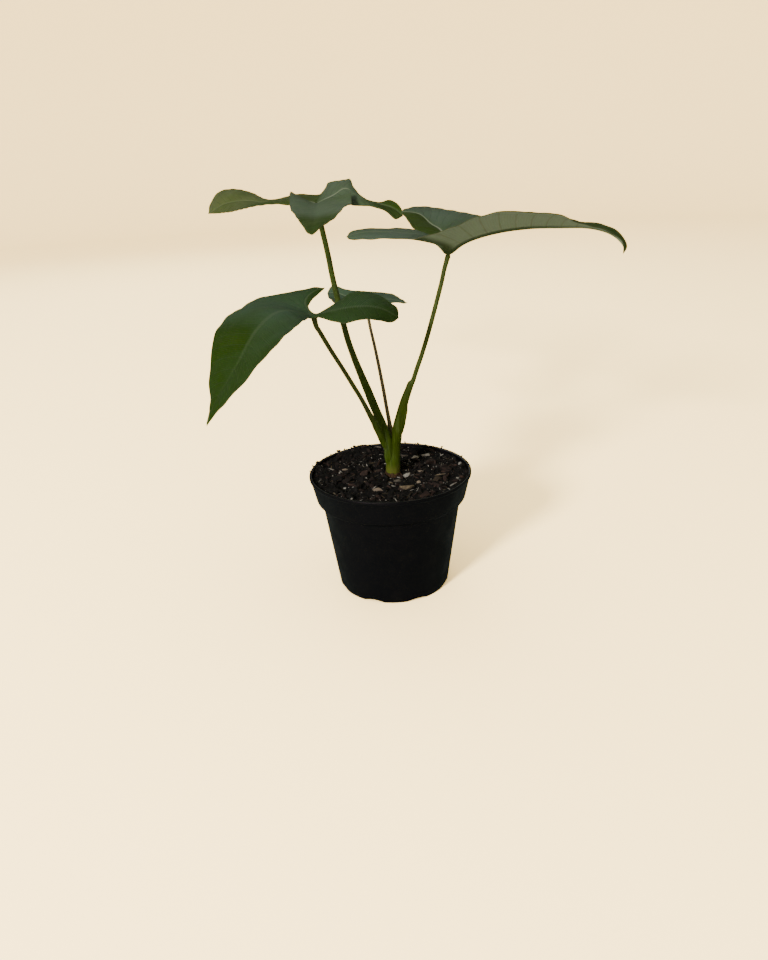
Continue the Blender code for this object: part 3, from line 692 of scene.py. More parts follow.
def mottle_group():
    """Soft patches: a mask from noise, between two levels."""
    inputs = [("Vector", "Vector", None), ("Scale", "Float", 50.0), ("Detail", "Float", 3.0),
              ("Low", "Float", 0.35), ("High", "Float", 0.65)]
    tree, start, end = new_tree("mottle", "ShaderNodeTree", inputs, ("Mask", "Float"))
    place, scale, detail, low, high = list(start)[:5]
    tree.links.new(mapped(tree, noise_at(tree, place, scale, detail), low, high), end)
    return tree


def line_group():
    """Thin lines wherever a coordinate is a whole number."""
    inputs = [("Coordinate", "Float", 0.0), ("Width", "Float", 0.1)]
    tree, start, end = new_tree("vein_lines", "ShaderNodeTree", inputs, ("Mask", "Float"))
    tree.links.new(mapped(tree, from_whole(tree, start["Coordinate"]), 0.0, start["Width"], 1.0, 0.0), end)
    return tree


MOTTLE = mottle_group()
VEIN_LINES = line_group()


def mottle(tree, place, scale, detail, low, high):
    """Soft patches of one scale and detail, which show between a low and a high level of the noise."""
    return made_by(tree, "ShaderNodeGroup", {0: place, 1: scale, 2: detail, 3: low, 4: high}, node_tree=MOTTLE)


def vein_lines(tree, coordinate, width):
    return made_by(tree, "ShaderNodeGroup", {0: coordinate, 1: width}, node_tree=VEIN_LINES)


def mixed(tree, mask, first, second):
    """The first colour where the mask is 0 and the second where it is 1."""
    inputs = {0: mask, 6: first, 7: second}
    inputs = {key: (*value, 1.0) if isinstance(value, tuple) else value for key, value in inputs.items()}
    return made_by(tree, "ShaderNodeMix", inputs, 2, data_type="RGBA")


def layered(tree, colour, layers):
    """A colour with others laid over it, each by its mask and the mask's strength."""
    for mask, strength, over in layers:
        colour = mixed(tree, times(tree, mask, strength), colour, over)
    return colour


def ramp(tree, value, stops):
    """A colour ramp from (place, colour) stops."""
    node = add_node(tree, "ShaderNodeValToRGB", {0: value})
    elements = node.color_ramp.elements
    while len(elements) < len(stops):
        elements.new(1.0)
    for element, (place, colour) in zip(elements, stops):
        element.position = place
        element.color = (*colour, 1.0)
    return node.outputs[0]


def attribute(tree, name, output="Fac"):
    return made_by(tree, "ShaderNodeAttribute", None, output, attribute_name=name)


def stretched(tree, place, scale):
    return made_by(tree, "ShaderNodeMapping", {"Vector": place, "Scale": scale})


def bump(tree, height, distance, strength):
    return made_by(tree, "ShaderNodeBump", {"Height": height, "Distance": distance, "Strength": strength})


def new_material(name):
    """A material, its tree, and the output for places on the object, in metres."""
    made = bpy.data.materials.new(name)
    made.use_nodes = True
    return made, made.node_tree, made_by(made.node_tree, "ShaderNodeTexCoord", None, "Object")


def finished(made, inputs):
    """The material with its shader's inputs, each a value or a node's output."""
    shader = made.node_tree.nodes["Principled BSDF"]
    for label, value in inputs.items():
        plug(made.node_tree, shader.inputs[label], value)
    return made


def scaled(colour, factor, more=0.0):
    return tuple(factor * c + more for c in colour)


# Materials

def pot_plastic():
    """Black moulded plastic, a little dusty on its ledges, with faint scuffs and a painted highlight along the
    inner lip.
    """
    made, tree, place = new_material("black_pot_plastic")
    ledge = mapped(tree, apart(tree, made_by(tree, "ShaderNodeNewGeometry", None, "Normal"))[2], 0.2, 0.9)
    share = maths(tree, "ADD", times(tree, ledge, 0.30), 0.06)
    dusty = times(tree, mottle(tree, place, 90.0, 5.0, 0.5, 0.8), share)
    colour = mixed(tree, dusty, (0.0028, 0.0033, 0.0048), (0.05, 0.043, 0.033))
    x, y, z = apart(tree, place)
    radius = made_by(tree, "ShaderNodeVectorMath", {0: vector(tree, x, y)}, "Value", operation="LENGTH")
    # A painted highlight along the inner edge of the lip
    inner = times(tree, mapped(tree, radius, *LIP_HIGHLIGHT_RADII, 1.0, 0.0),
                  mapped(tree, z, *LIP_HIGHLIGHT_HEIGHTS, 0.0, 0.8))
    worn = mottle(tree, place, 60.0, 6.0, 0.3, 0.7)
    rings = noise_at(tree, stretched(tree, place, (0.15, 0.15, 1.0)), 500.0, 3.0)
    height = maths(tree, "ADD", noise_at(tree, place, 1400.0, 2.0), times(tree, rings, 0.8))
    return finished(made, {
        "Base Color": mixed(tree, inner, colour, (0.11, 0.12, 0.12)),
        "Roughness": mapped(tree, worn, 0.0, 1.0, 0.40, 0.56), "Normal": bump(tree, height, 0.00012, 0.7),
        "Specular IOR Level": 0.32, "Specular Tint": (1.0, 0.84, 0.92, 1.0)})


def soil_earth():
    """Nearly black potting soil."""
    made, tree, place = new_material("potting_soil")
    coarse = mottle(tree, place, 260.0, 6.0, 0.4, 0.75)
    fine = mottle(tree, place, 1500.0, 3.0, 0.55, 0.8)
    colour = mixed(tree, coarse, (0.0020, 0.0017, 0.0017), (0.014, 0.010, 0.0085))
    return finished(made, {
        "Base Color": layered(tree, colour, [(fine, 0.3, (0.08, 0.06, 0.045))]),
        "Roughness": mapped(tree, coarse, 0.0, 1.0, 0.75, 0.98),
        "Normal": bump(tree, noise_at(tree, place, 900.0, 6.0, 0.7), 0.0007, 1.0)})


def chip_bark():
    """Broken bark and wood, from nearly black to pale tan, by the tint of each chip."""
    made, tree, place = new_material("bark_chips")
    base = ramp(tree, attribute(tree, "tint"), [
        (0.0, (0.004, 0.0035, 0.0035)), (0.30, (0.010, 0.007, 0.006)), (0.48, (0.038, 0.021, 0.018)),
        (0.60, (0.085, 0.046, 0.036)), (0.70, (0.075, 0.060, 0.034)), (0.80, (0.16, 0.14, 0.115)),
        (0.90, (0.23, 0.17, 0.095)), (0.96, (0.36, 0.28, 0.19)), (1.0, (0.42, 0.34, 0.27))])
    spots = mottle(tree, place, 420.0, 5.0, 0.3, 0.7)
    darker = mixed(tree, 0.75, base, (0.008, 0.006, 0.005))
    return finished(made, {
        "Base Color": layered(tree, base, [(spots, 0.75, darker)]), "Roughness": 0.85,
        "Normal": bump(tree, noise_at(tree, place, 1100.0, 4.0), 0.0004, 0.8)})


def perlite_white():
    """Chalky white grains with a little soil on them."""
    made, tree, place = new_material("perlite")
    soiled = mottle(tree, place, 500.0, 4.0, 0.45, 0.75)
    bright = mixed(tree, attribute(tree, "tint"), (0.30, 0.28, 0.25), (0.62, 0.60, 0.56))
    pits = made_by(tree, "ShaderNodeTexVoronoi", {"Vector": place, "Scale": 2200.0}, "Distance")
    return finished(made, {
        "Base Color": layered(tree, bright, [(soiled, 0.6, (0.09, 0.07, 0.055))]), "Roughness": 0.9,
        "Normal": bump(tree, pits, 0.0003, 0.7)})


def stalk_skin(name, foot, top, spread):
    """Skin of a stalk and its sheath: brown at the soil, pale above it, then darker, with long fine streaks and
    painted glints.
    """
    made, tree, place = new_material(name)
    height = apart(tree, place)[2]
    long = stretched(tree, place, (1.0, 1.0, 0.06))
    streaks = mottle(tree, long, 900.0, 4.0, 0.3, 0.7)
    # Painted glints: lighter streaks painted into the colour as highlights
    painted_glints = mottle(tree, long, 620.0, 2.0, 0.52, 0.68)
    patches = mottle(tree, place, 70.0, 3.0, 0.35, 0.7)
    colour = mixed(tree, mapped(tree, height, spread[0] * MM, spread[1] * MM), foot, top)
    colour = layered(tree, colour, [(streaks, 0.55, scaled(foot, 0.35)), (painted_glints, 0.50, scaled(foot, 1.4, 0.03)),
                                    (patches, 0.25, scaled(foot, 1.6))])
    colour = mixed(tree, mapped(tree, height, *PALE_FOOT, 0.75, 0.0), colour, (0.20, 0.23, 0.040))
    colour = mixed(tree, mapped(tree, height, *SOILED_FOOT, 1.0, 0.0), colour, (0.035, 0.020, 0.010))
    return finished(made, {
        "Base Color": colour, "Roughness": mapped(tree, streaks, 0.0, 1.0, 0.42, 0.55),
        "Normal": bump(tree, streaks, 0.00015, 0.6), "Specular IOR Level": 0.14, "Subsurface Weight": 0.08,
        "Subsurface Radius": (0.4, 1.0, 0.2), "Subsurface Scale": 0.002})


def dry_sheath():
    """The papery brown edge of an old sheath."""
    made, tree, place = new_material("dry_sheath")
    spots = mottle(tree, place, 900.0, 4.0, 0.3, 0.7)
    return finished(made, {"Base Color": mixed(tree, spots, (0.125, 0.066, 0.026), (0.040, 0.020, 0.010)),
                           "Roughness": 0.8, "Normal": bump(tree, spots, 0.0003, 0.8)})


def leaf_skin(name, tones, vein, rib, rib_width, margin, roughness, relief, gloss, painted_throat_shade=None):
    """Skin of one face of a blade: green tones with a painted sheen, veins and midribs, and a thin pale margin.

    The throat, where the blade draws together to its stalk, can have a painted shade of its own.
    """
    made, tree, place = new_material(name)
    along, from_rib, from_edge = apart(tree, attribute(tree, "leaf_place", "Vector"))
    painted_sheen, rib_share, vein_share = apart(tree, attribute(tree, "looks", "Vector"))
    count = attribute(tree, "vein_count")
    side_veins = times(tree, vein_lines(tree, count, 0.10), vein_share)
    fine_veins = vein_lines(tree, times(tree, count, 6.0), 0.3)
    # The midrib's colour: pale on the top, and on the underside a dark painted shade along the keel
    midrib = times(tree, mapped(tree, from_rib, 0.3 * rib_width, rib_width, 1.0, 0.0), rib_share)
    midrib = times(tree, midrib, mapped(tree, along, *MIDRIB_FADE, 1.0, 0.15))
    edge = mapped(tree, from_edge, *EDGE_FADE, 1.0, 0.0)
    patches = mottle(tree, place, 32.0, 4.0, 0.3, 0.7)
    cells = mottle(tree, place, 1300.0, 2.0, 0.3, 0.7)
    drift = maths(tree, "MULTIPLY_ADD", patches, 0.16, -0.08)
    # The tones paint sheen: towards blue-grey a painted sheen of the glossy top, towards deep green the leaf's own
    # colour
    colour = ramp(tree, maths(tree, "ADD", painted_sheen, drift), list(zip((0.0, 0.5, 1.0), tones)))
    colour = layered(tree, colour, [(cells, 0.10, vein), (fine_veins, 0.16, vein), (side_veins, 0.45, vein)])
    # Painted shade where the blade draws into its stalk
    if painted_throat_shade:
        colour = mixed(tree, mapped(tree, along, *THROAT_SHADE_FADE, 0.85, 0.0), colour, painted_throat_shade)
    colour = layered(tree, colour, [(midrib, 0.85, rib), (edge, 0.75, margin)])
    height = maths(tree, "ADD", times(tree, side_veins, relief), times(tree, fine_veins, 0.25 * relief))
    height = maths(tree, "ADD", height, times(tree, cells, 0.10))
    return finished(made, {
        "Base Color": colour, "Roughness": mapped(tree, patches, 0.0, 1.0, roughness, roughness + 0.10),
        "Normal": bump(tree, height, 0.00025, 0.8), "Specular IOR Level": gloss, "Subsurface Weight": 0.10,
        "Subsurface Radius": (0.3, 1.0, 0.15), "Subsurface Scale": 0.001})


def by_ray(tree, shown, in_gloss, to_eye):
    """A colour of its own for the light it throws, for reflections and for the camera."""
    path = add_node(tree, "ShaderNodeLightPath").outputs
    return mixed(tree, path["Is Camera Ray"], mixed(tree, path["Is Glossy Ray"], shown, in_gloss), to_eye)


def pale_floor():
    """Cream backdrop paper, brighter to the eye, and darker in reflections, than the light it throws."""
    made, tree, place = new_material("pale_floor")
    paper = mixed(tree, mottle(tree, place, 3.0, 2.0, 0.2, 0.8), (0.84, 0.77, 0.62), (0.86, 0.79, 0.64))
    paper = by_ray(tree, paper, FLOOR_IN_GLOSS, scaled(FLOOR_TO_EYE, FLOOR_GLOW))
    chalk = made_by(tree, "ShaderNodeBsdfDiffuse", {"Color": paper})
    plug(tree, tree.nodes["Material Output"].inputs["Surface"], chalk)
    tree.nodes.remove(tree.nodes["Principled BSDF"])
    return made


# Geometry trees

def geometry_tree(name, *inputs):
    """A tree for a mesh and a finish, with the inputs between them, and its sockets in that order."""
    inputs = [("Geometry", "Geometry", None), *inputs, ("Finish", "Material", None)]
    tree, start, end = new_tree(name, "GeometryNodeTree", inputs, ("Geometry", "Geometry"))
    return tree, end, list(start)[:len(inputs)]


def end_tree(tree, end, geometry, finish):
    """Ends the tree with no instances left and the finish on everything."""
    whole = made_by(tree, "GeometryNodeRealizeInstances", {0: geometry})
    tree.links.new(made_by(tree, "GeometryNodeSetMaterial", {"Geometry": whole, "Material": finish}), end)
    return tree


def named(tree, name):
    return made_by(tree, "GeometryNodeInputNamedAttribute", {"Name": name}, data_type="FLOAT")


def marked(tree, geometry, name, value, domain):
    """The geometry with the value stored under a name."""
    return made_by(tree, "GeometryNodeStoreNamedAttribute", {"Geometry": geometry, "Name": name, "Value": value},
                   data_type="FLOAT", domain=domain)


def run_tree(obj, tree, **values):
    """Runs a geometry tree on the object, its inputs set by identifier, and bakes the result."""
    modifier = obj.modifiers.new(tree.name, "NODES")
    modifier.node_group = tree
    names = {item.name: item.identifier for item in tree.interface.items_tree if item.in_out == "INPUT"}
    for label, value in values.items():
        modifier[names[label.replace("_", " ").capitalize()]] = value
    return baked(obj)


# Pot

def pot_profile():
    """Outer side from the centre of the base up to the lip, then the inner side down to the floor."""
    return filleted([
        (0, 0, 0), (BASE_RADIUS, 0, CORNER_RADIUS), (BODY_TOP_RADIUS, BODY_TOP, SHOULDER_ROUNDING),
        (COLLAR_FOOT_RADIUS, COLLAR_FOOT - COLLAR_DROP, SHOULDER_ROUNDING),
        (LIP_FOOT_RADIUS, LIP_FOOT, LIP_STEP_ROUNDING[0]),
        (RIM_RADIUS, LIP_FOOT + (RIM_RADIUS - LIP_FOOT_RADIUS), LIP_STEP_ROUNDING[1]),
        (RIM_RADIUS, POT_HEIGHT, LIP_ROUNDING), (RIM_RADIUS - LIP_WIDTH, POT_HEIGHT, LIP_ROUNDING),
        (LIP_FOOT_RADIUS - WALL, LIP_FOOT + LIP_ROUNDING, INNER_LIP_ROUNDING),
        (COLLAR_FOOT_RADIUS - WALL, COLLAR_FOOT + WALL / 2, INNER_ROUNDING),
        (BODY_TOP_RADIUS - WALL, BODY_TOP + WALL, INNER_ROUNDING),
        (BASE_RADIUS - WALL, FLOOR, CORNER_RADIUS), (0, FLOOR, 0)])


def drains_tree():
    """Cuts a ring of arched openings out of the pot's bottom corner."""
    tree, end, (pot, drains, arch, reach, middle, drop, sides, finish) = geometry_tree(
        "drain_openings", ("Drains", "Int", DRAINS), ("Arch radius", "Float", 0.01), ("Reach", "Float", 0.01),
        ("Middle", "Float", 0.03), ("Drop", "Float", 0.01), ("Sides", "Int", DRAIN_SIDES))
    bar = made_by(tree, "GeometryNodeMeshCylinder", {"Vertices": sides, "Radius": arch, "Depth": reach}, "Mesh")
    lying = made_by(tree, "GeometryNodeTransform", {"Geometry": bar, "Rotation": (0.0, math.pi / 2, 0.0)})
    placed = made_by(tree, "GeometryNodeTransform",
                     {"Geometry": lying, "Translation": vector(tree, middle, z=drop)})
    share = maths(tree, "DIVIDE", maths(tree, "ADD", made_by(tree, "GeometryNodeInputIndex"), 0.5), drains)
    angle = maths(tree, "SUBTRACT", times(tree, share, 2 * math.pi), math.pi / 2)
    ring = made_by(tree, "GeometryNodeInstanceOnPoints", {
        "Points": made_by(tree, "GeometryNodePoints", {"Count": drains}), "Instance": placed,
        "Rotation": made_by(tree, "FunctionNodeEulerToRotation", {0: vector(tree, z=angle)})})
    cutters = made_by(tree, "GeometryNodeRealizeInstances", {0: ring})
    cut = made_by(tree, "GeometryNodeMeshBoolean", {"Mesh 1": pot, "Mesh 2": cutters}, operation="DIFFERENCE")
    return end_tree(tree, end, cut, finish)


def make_pot():
    shell = add_object("nursery_pot", mesh_of("nursery_pot", *lathe(pot_profile(), POT_SIDES)))
    half = DRAIN_WIDTH / 2
    arch = (half**2 + DRAIN_RISE**2) / (2 * DRAIN_RISE)
    reach = BASE_RADIUS + DRAIN_CUT_BEYOND - DRAIN_INNER_RADIUS
    pot = run_tree(shell, drains_tree(), drains=DRAINS, arch_radius=arch * MM, reach=reach * MM,
                   middle=(DRAIN_INNER_RADIUS + reach / 2) * MM, drop=(DRAIN_RISE - arch) * MM,
                   sides=DRAIN_SIDES, finish=pot_plastic())
    shade(pot, SHARP_ANGLES["pot"])
    piece(pot, "pot", "pot")


# Soil

def soil_height(x, y):
    """Height of the soil's top: rough all over but level at the stem, and a little higher at the wall."""
    away = math.hypot(x - CROWN_X, y) / RIM_RADIUS
    along = math.sin(BROAD_RIPPLE[0] * x + BROAD_RIPPLE_SHIFT[0])
    across = math.cos(BROAD_RIPPLE[1] * y + BROAD_RIPPLE_SHIFT[1])
    fine = math.sin(FINE_RIPPLE[0] * x + FINE_RIPPLE[1] * y)
    ripple = (along * across + FINE_RIPPLE_SHARE * fine) * min(1, 2 * away)
    return SOIL_TOP + SOIL_ROUGHNESS * ripple + SOIL_EDGE_RISE * away**2


def lumpy_height(x, y):
    """The soil's top with its lumps and grit."""
    lumps = noise.fractal(Vector((x, y, LUMP_SLICE)) / SOIL_LUMP_SIZE, *SOIL_LUMP_KIND)
    grit = noise.noise(Vector((x, y, GRIT_SLICE)) / SOIL_GRIT_SIZE)
    banked = sum(rise * math.exp(-((x - bx) ** 2 + (y - by) ** 2) / reach**2) for bx, by, rise, reach in BANKS)
    return soil_height(x, y) + SOIL_LUMP * lumps + SOIL_GRIT * grit + banked


def make_soil(finish):
    """One body that fills the pot, with a fine lumpy top and a hole where the crown stands."""
    wall = LIP_FOOT_RADIUS - WALL - WALL_CLEARANCE - (LIP_FOOT - SOIL_TOP) * COLLAR_LEAN
    top = [(r, 0, CROWN_X * (wall - r) / (wall - HOLE_RADIUS)) for r in np.linspace(HOLE_RADIUS, wall, SOIL_RINGS)]
    rows = [(0, CROWN_FOOT, CROWN_X), (HOLE_RADIUS, CROWN_FOOT, CROWN_X), *top, *SOIL_SIDE]
    points, faces = lathe([row[:2] for row in rows], SOIL_SIDES, [row[2] for row in rows])
    points = np.array(points, float)
    room = np.zeros(len(points))
    first = 1 + SOIL_SIDES
    for number in range(first, first + SOIL_RINGS * SOIL_SIDES):
        x, y = points[number, :2]
        points[number, 2] = lumpy_height(x, y)
        room[number] = min(wall - math.hypot(x, y), math.hypot(x - CROWN_X, y) - HOLE_RADIUS - ROOM_AT_HOLE)
    soil = add_object("potting_soil", mesh_of("potting_soil", points, [face[::-1] for face in faces]), finish)
    store(soil.data, "room", room)
    shade(soil, SHARP_ANGLES["soil"])
    return soil


def drawn(rng, *ranges):
    """A number drawn from each range."""
    return [rng.uniform(*span) for span in ranges]


def broken_chip(name, rng, size, corners, roundness):
    """A closed lump with flat broken sides: the hull of points spread over a box, or over a ball."""
    shape = bmesh.new()
    for _ in range(corners):
        way = Vector([rng.gauss(0, 1) for _ in range(3)]).normalized()
        box = way / max(abs(c) for c in way)
        spot = way.lerp(box, 1 - roundness) * rng.uniform(*CHIP_DEPTHS)
        shape.verts.new(Vector([s * c for s, c in zip(size, spot)]) / 2)
    hull = bmesh.ops.convex_hull(shape, input=shape.verts)
    loose = {g for g in hull["geom_interior"] + hull["geom_unused"] if isinstance(g, bmesh.types.BMVert)}
    bmesh.ops.delete(shape, geom=list(loose), context="VERTS")
    bmesh.ops.recalc_face_normals(shape, faces=shape.faces)
    mesh = bpy.data.meshes.new(name)
    shape.to_mesh(mesh)
    shape.free()
    return mesh


def chip_shapes(name, rng, count, size, corners, roundness):
    """A hidden collection of a few shapes to strew."""
    shapes = bpy.data.collections.new(name)
    for number in range(count):
        varied = [side * rng.uniform(*CHIP_VARIETY) for side in size]
        mesh = broken_chip(f"{name}_{number}", rng, varied, corners, roundness)
        shapes.objects.link(bpy.data.objects.new(mesh.name, mesh))
    return shapes


def strewn_tree():
    """Strews shapes over the open soil, at random turns and sizes, each with its own tint."""
    tree, end, sockets = geometry_tree(
        "strewn_on_soil", ("Shapes", "Collection", None), ("Density", "Float", 1000.0), ("Room", "Float", 2.0),
        ("Smallest", "Float", 0.001), ("Largest", "Float", 0.003), ("Tilt", "Float", 0.4), ("Lift", "Float", 0.1),
        ("Palest", "Float", 1.0), ("Seed", "Int", 1))
    ground, shapes, density, room, smallest, largest, tilt, lift, palest, seed, finish = sockets
    clear = made_by(tree, "FunctionNodeCompare", {0: named(tree, "room"), 1: room}, data_type="FLOAT",
                    operation="GREATER_THAN")
    spots = add_node(tree, "GeometryNodeDistributePointsOnFaces",
                     {"Mesh": ground, "Selection": clear, "Density": density, "Seed": seed}).outputs
    small = maths(tree, "POWER", made_by(tree, "FunctionNodeRandomValue", {"Seed": seed}, 1), 2.0)
    scale = maths(tree, "MULTIPLY_ADD", small, maths(tree, "SUBTRACT", largest, smallest), smallest)
    back = times(tree, tilt, -1.0)
    turn = made_by(tree, "FunctionNodeRandomValue", {
        0: vector(tree, back, back), 1: vector(tree, tilt, tilt, 2 * math.pi),
        "Seed": maths(tree, "ADD", seed, 1.0)}, data_type="FLOAT_VECTOR")
    turned = made_by(tree, "FunctionNodeRotateRotation", {
        "Rotation": spots["Rotation"], "Rotate By": made_by(tree, "FunctionNodeEulerToRotation", {0: turn})},
        rotation_space="LOCAL")
    raised = made_by(tree, "GeometryNodeSetPosition",
                     {"Geometry": spots["Points"], "Offset": vector(tree, z=times(tree, scale, lift))})
    one_by_one = made_by(tree, "GeometryNodeCollectionInfo",
                         {"Collection": shapes, "Separate Children": True, "Reset Children": True})
    placed = made_by(tree, "GeometryNodeInstanceOnPoints", {
        "Points": raised, "Instance": one_by_one, "Pick Instance": True, "Rotation": turned, "Scale": scale})
    pale = made_by(tree, "FunctionNodeRandomValue", {"Seed": maths(tree, "ADD", seed, 2.0)}, 1)
    return end_tree(tree, end, marked(tree, placed, "tint", times(tree, pale, palest), "INSTANCE"), finish)


def strew(soil, tree, name, seed, shapes, count, room, sizes, tilt, lift, palest, finish):
    """Copies the soil's top, strews it, and keeps only what was strewn."""
    made = run_tree(add_object(name, soil.data.copy()), tree, shapes=shapes, room=room, tilt=tilt, lift=lift,
                    density=count / (math.pi * (RIM_RADIUS * MM) ** 2), smallest=sizes[0] * MM,
                    largest=sizes[1] * MM, palest=palest, seed=seed, finish=finish)
    made.data.shade_flat()
    return made


def laid(mesh, place, tint):
    """The mesh in its place, from millimetres to metres, with one tint all over."""
    mesh.transform(Matrix.Scale(MM, 4) @ place)
    store(mesh, "tint", [tint] * len(mesh.vertices))
    return mesh


def chips_that_show(bark, perlite):
    """The larger chips, each laid in its own place."""
    rng = random.Random(SEED + 5)
    made = []
    for x, y, length, turn, kind in CHIPS_THAT_SHOW:
        shares = drawn(rng, *BARK_SHARES)
        if kind in ("grey", "white"):
            shares = drawn(rng, *LUMP_SHARES)
        if kind == "dark":
            shares = DARK_SHARES
        size = (length, length * shares[0], length * shares[1])
        tint, corners, roundness = CHIP_KINDS[kind]
        mesh = broken_chip("chip", rng, size, corners, roundness)
        height = soil_height(x, y) + CHIP_LIFT * size[2]
        place = Matrix.Translation((x, y, height)) @ Matrix.Rotation(math.radians(turn), 4, "Z")
        sideways_tilt, forward_tilt = drawn(rng, *CHIP_TILTS)
        place @= Matrix.Rotation(sideways_tilt, 4, "X") @ Matrix.Rotation(forward_tilt, 4, "Y")
        if kind == "white":
            made.append((laid(mesh, place, rng.uniform(*WHITE_TINTS)), perlite))
        else:
            made.append((laid(mesh, place, tint), bark))
    return made


def crumbs_on_rim(finish):
    """Crumbs of soil left on the lip, most of them at the back and the left."""
    rng = random.Random(SEED + 6)
    made = []
    for middle, spread, count in RIM_CRUMBS:
        for _ in range(count):
            size = CRUMB_SIZES[0] + CRUMB_SIZES[1] * rng.random() ** 2
            angle = math.radians(rng.gauss(middle, spread))
            radius = RIM_RADIUS - LIP_WIDTH * rng.uniform(*CRUMB_PLACES)
            mesh = broken_chip("crumb", rng, [size * share for share in CRUMB_SHARES], *CRUMB_SHAPE)
            height = POT_HEIGHT + CHIP_LIFT * size
            place = Matrix.Translation((radius * math.cos(angle), radius * math.sin(angle), height))
            turn, tilt = drawn(rng, (0, 2 * math.pi), CRUMB_TILT)
            place @= Matrix.Rotation(turn, 4, "Z") @ Matrix.Rotation(tilt, 4, "X")
            made.append((laid(mesh, place, rng.uniform(*CRUMB_TINTS)), finish))
    return made


def joined(name, parts):
    """One object from meshes with their materials."""
    objects = [add_object(name, mesh, finish) for mesh, finish in parts]
    with bpy.context.temp_override(active_object=objects[0], selected_editable_objects=objects):
        bpy.ops.object.join()
    objects[0].name = name
    return objects[0]


def make_soil_and_chips():
    earth, finishes = soil_earth(), {"bark": chip_bark(), "perlite": perlite_white()}
    soil = make_soil(earth)
    tree = strewn_tree()
    rng = random.Random(SEED)
    shapes = {name: chip_shapes(name, rng, *kind) for name, kind in SHAPES.items()}
    pieces = [strew(soil, tree, name, FIRST_SEED + number, shapes[shape], *rest, finishes[finish])
              for number, (name, (shape, *rest, finish)) in enumerate(STREWN.items())]
    pieces.append(joined("larger_chips", chips_that_show(**finishes)))
    pieces.append(joined("rim_crumbs", crumbs_on_rim(finishes["bark"])))
    for made in [soil, *pieces]:
        piece(made, "soil", "soil")


# Crown and stalks

def sideways(line):
    """Two directions across the line at each of its points, which turn as little as they can."""
    ahead = np.gradient(line, axis=0)
    ahead /= np.linalg.norm(ahead, axis=1)[:, None]
    side = np.cross(ahead[0], (0, 1, 0))
    sides = []
    for direction in ahead:
        side = side - direction * (side @ direction)
        side /= np.linalg.norm(side)
        sides.append(side)
    sides = np.array(sides)
    return sides, np.cross(ahead, sides)


def tube(line, radii, sides):
    """Points and faces of a closed tube with flat ends, with a radius at each point of its line."""
    points = [centre + radius * (u * math.cos(angle) + v * math.sin(angle))
              for centre, radius, u, v in zip(line, radii, *sideways(line)) for angle in turns(sides)]
    rings = rings_of(len(line), sides)
    return points, bands(rings) + [rings[0][::-1], rings[-1]]


def stem_points(name):
    """The centre line from the foot of the sheath to the apex, with its radii as a fourth column."""
    stalk = STALKS[name]
    upper = [(*point, radius) for point, radius in zip(stalk["line"], stalk["radii"])][SHEATH_POINTS:]
    points = SHEATHS[name] + upper
    return smooth_curve(points, round(length_of(points) / SHEATH_STEP))


def sheath(name):
    """One closed sheath, which laps a little over its stalk and closes on it."""
    line = stem_points(name)
    mouth = SHEATHS[name][-1][2] + SHEATH_OVERHANG
    line = line[line[:, 2] < mouth]
    radii = line[:, 3] + SHEATH_OVER_STEM
    radii -= SHEATH_CLOSING * np.clip(1 - (mouth - line[:, 2]) / SHEATH_TAPER, 0, 1) ** 2
    return mesh_of("sheath_" + name, *tube(line[:, :3], radii, SHEATH_SIDES))


def torn_collar():
    """The dry torn edge of an old sheath, in a ring at the soil."""
    rng = random.Random(SEED + 9)
    x, y, z = DRY_RING_PLACE
    tears = [rng.uniform(*DRY_RING_TEARS) for _ in range(DRY_RING_SIDES)]
    flares = [rng.uniform(*DRY_RING_FLARES) for _ in range(DRY_RING_SIDES)]
    points = []
    for angle, tear, flare in zip(turns(DRY_RING_SIDES), tears, flares):
        for out, up in DRY_RING_PROFILE:
            radius = DRY_RING_RADIUS + (out * flare if out > 0 else out)
            rise = up * tear if up > 0 else up
            px, py = x + radius * math.cos(angle), y + radius * math.sin(angle)
            points.append((px, py, z + rise - DRY_RING_SLANT * (px - x)))
    rings = rings_of(DRY_RING_SIDES, len(DRY_RING_PROFILE))
    return mesh_of("torn_collar", points, turned_over(bands(rings + rings[:1])))


def make_crown(skins):
    """The sheaths at the foot of the stems, crowded together at the soil and parting above."""
    parts = [(sheath(name), skins[name]) for name in SHEATHS] + [(torn_collar(), dry_sheath())]
    crown = joined("crown_sheaths", parts)
    shade(crown, SHARP_ANGLES["crown"])
    piece(crown, "crown", "crown")


def stalk_tree():
    """A round stalk along a line, whose girth and sheath wing come from the line's own values."""
    tree, end, (stem, sides, wing_side, wing_spread, finish) = geometry_tree(
        "stalk_along_line", ("Sides", "Int", STALK_SIDES), ("Wing side", "Float", 0.0),
        ("Wing spread", "Float", WING_SPREAD))
    line = made_by(tree, "GeometryNodeMeshToCurve", {"Mesh": stem})
    line = made_by(tree, "GeometryNodeSetCurveNormal", {"Curve": line}, mode="Z_UP")
    ring = made_by(tree, "GeometryNodeCurvePrimitiveCircle", {"Resolution": sides, "Radius": 1.0})
    ring = marked(tree, ring, "around", made_by(tree, "GeometryNodeSplineParameter"), "POINT")
    skin = made_by(tree, "GeometryNodeCurveToMesh", {"Curve": line, "Profile Curve": ring,
                                                     "Scale": named(tree, "girth"), "Fill Caps": True})
    away = from_whole(tree, maths(tree, "SUBTRACT", named(tree, "around"), wing_side))
    near = maths(tree, "DIVIDE", away, wing_spread)
    peak = maths(tree, "EXPONENT", times(tree, times(tree, near, near), -1.0))
    push = made_by(tree, "ShaderNodeVectorMath", {0: made_by(tree, "GeometryNodeInputNormal"),
                                                  "Scale": times(tree, named(tree, "wing"), peak)},
                   operation="SCALE")
    return end_tree(tree, end, made_by(tree, "GeometryNodeSetPosition", {"Geometry": skin, "Offset": push}), finish)


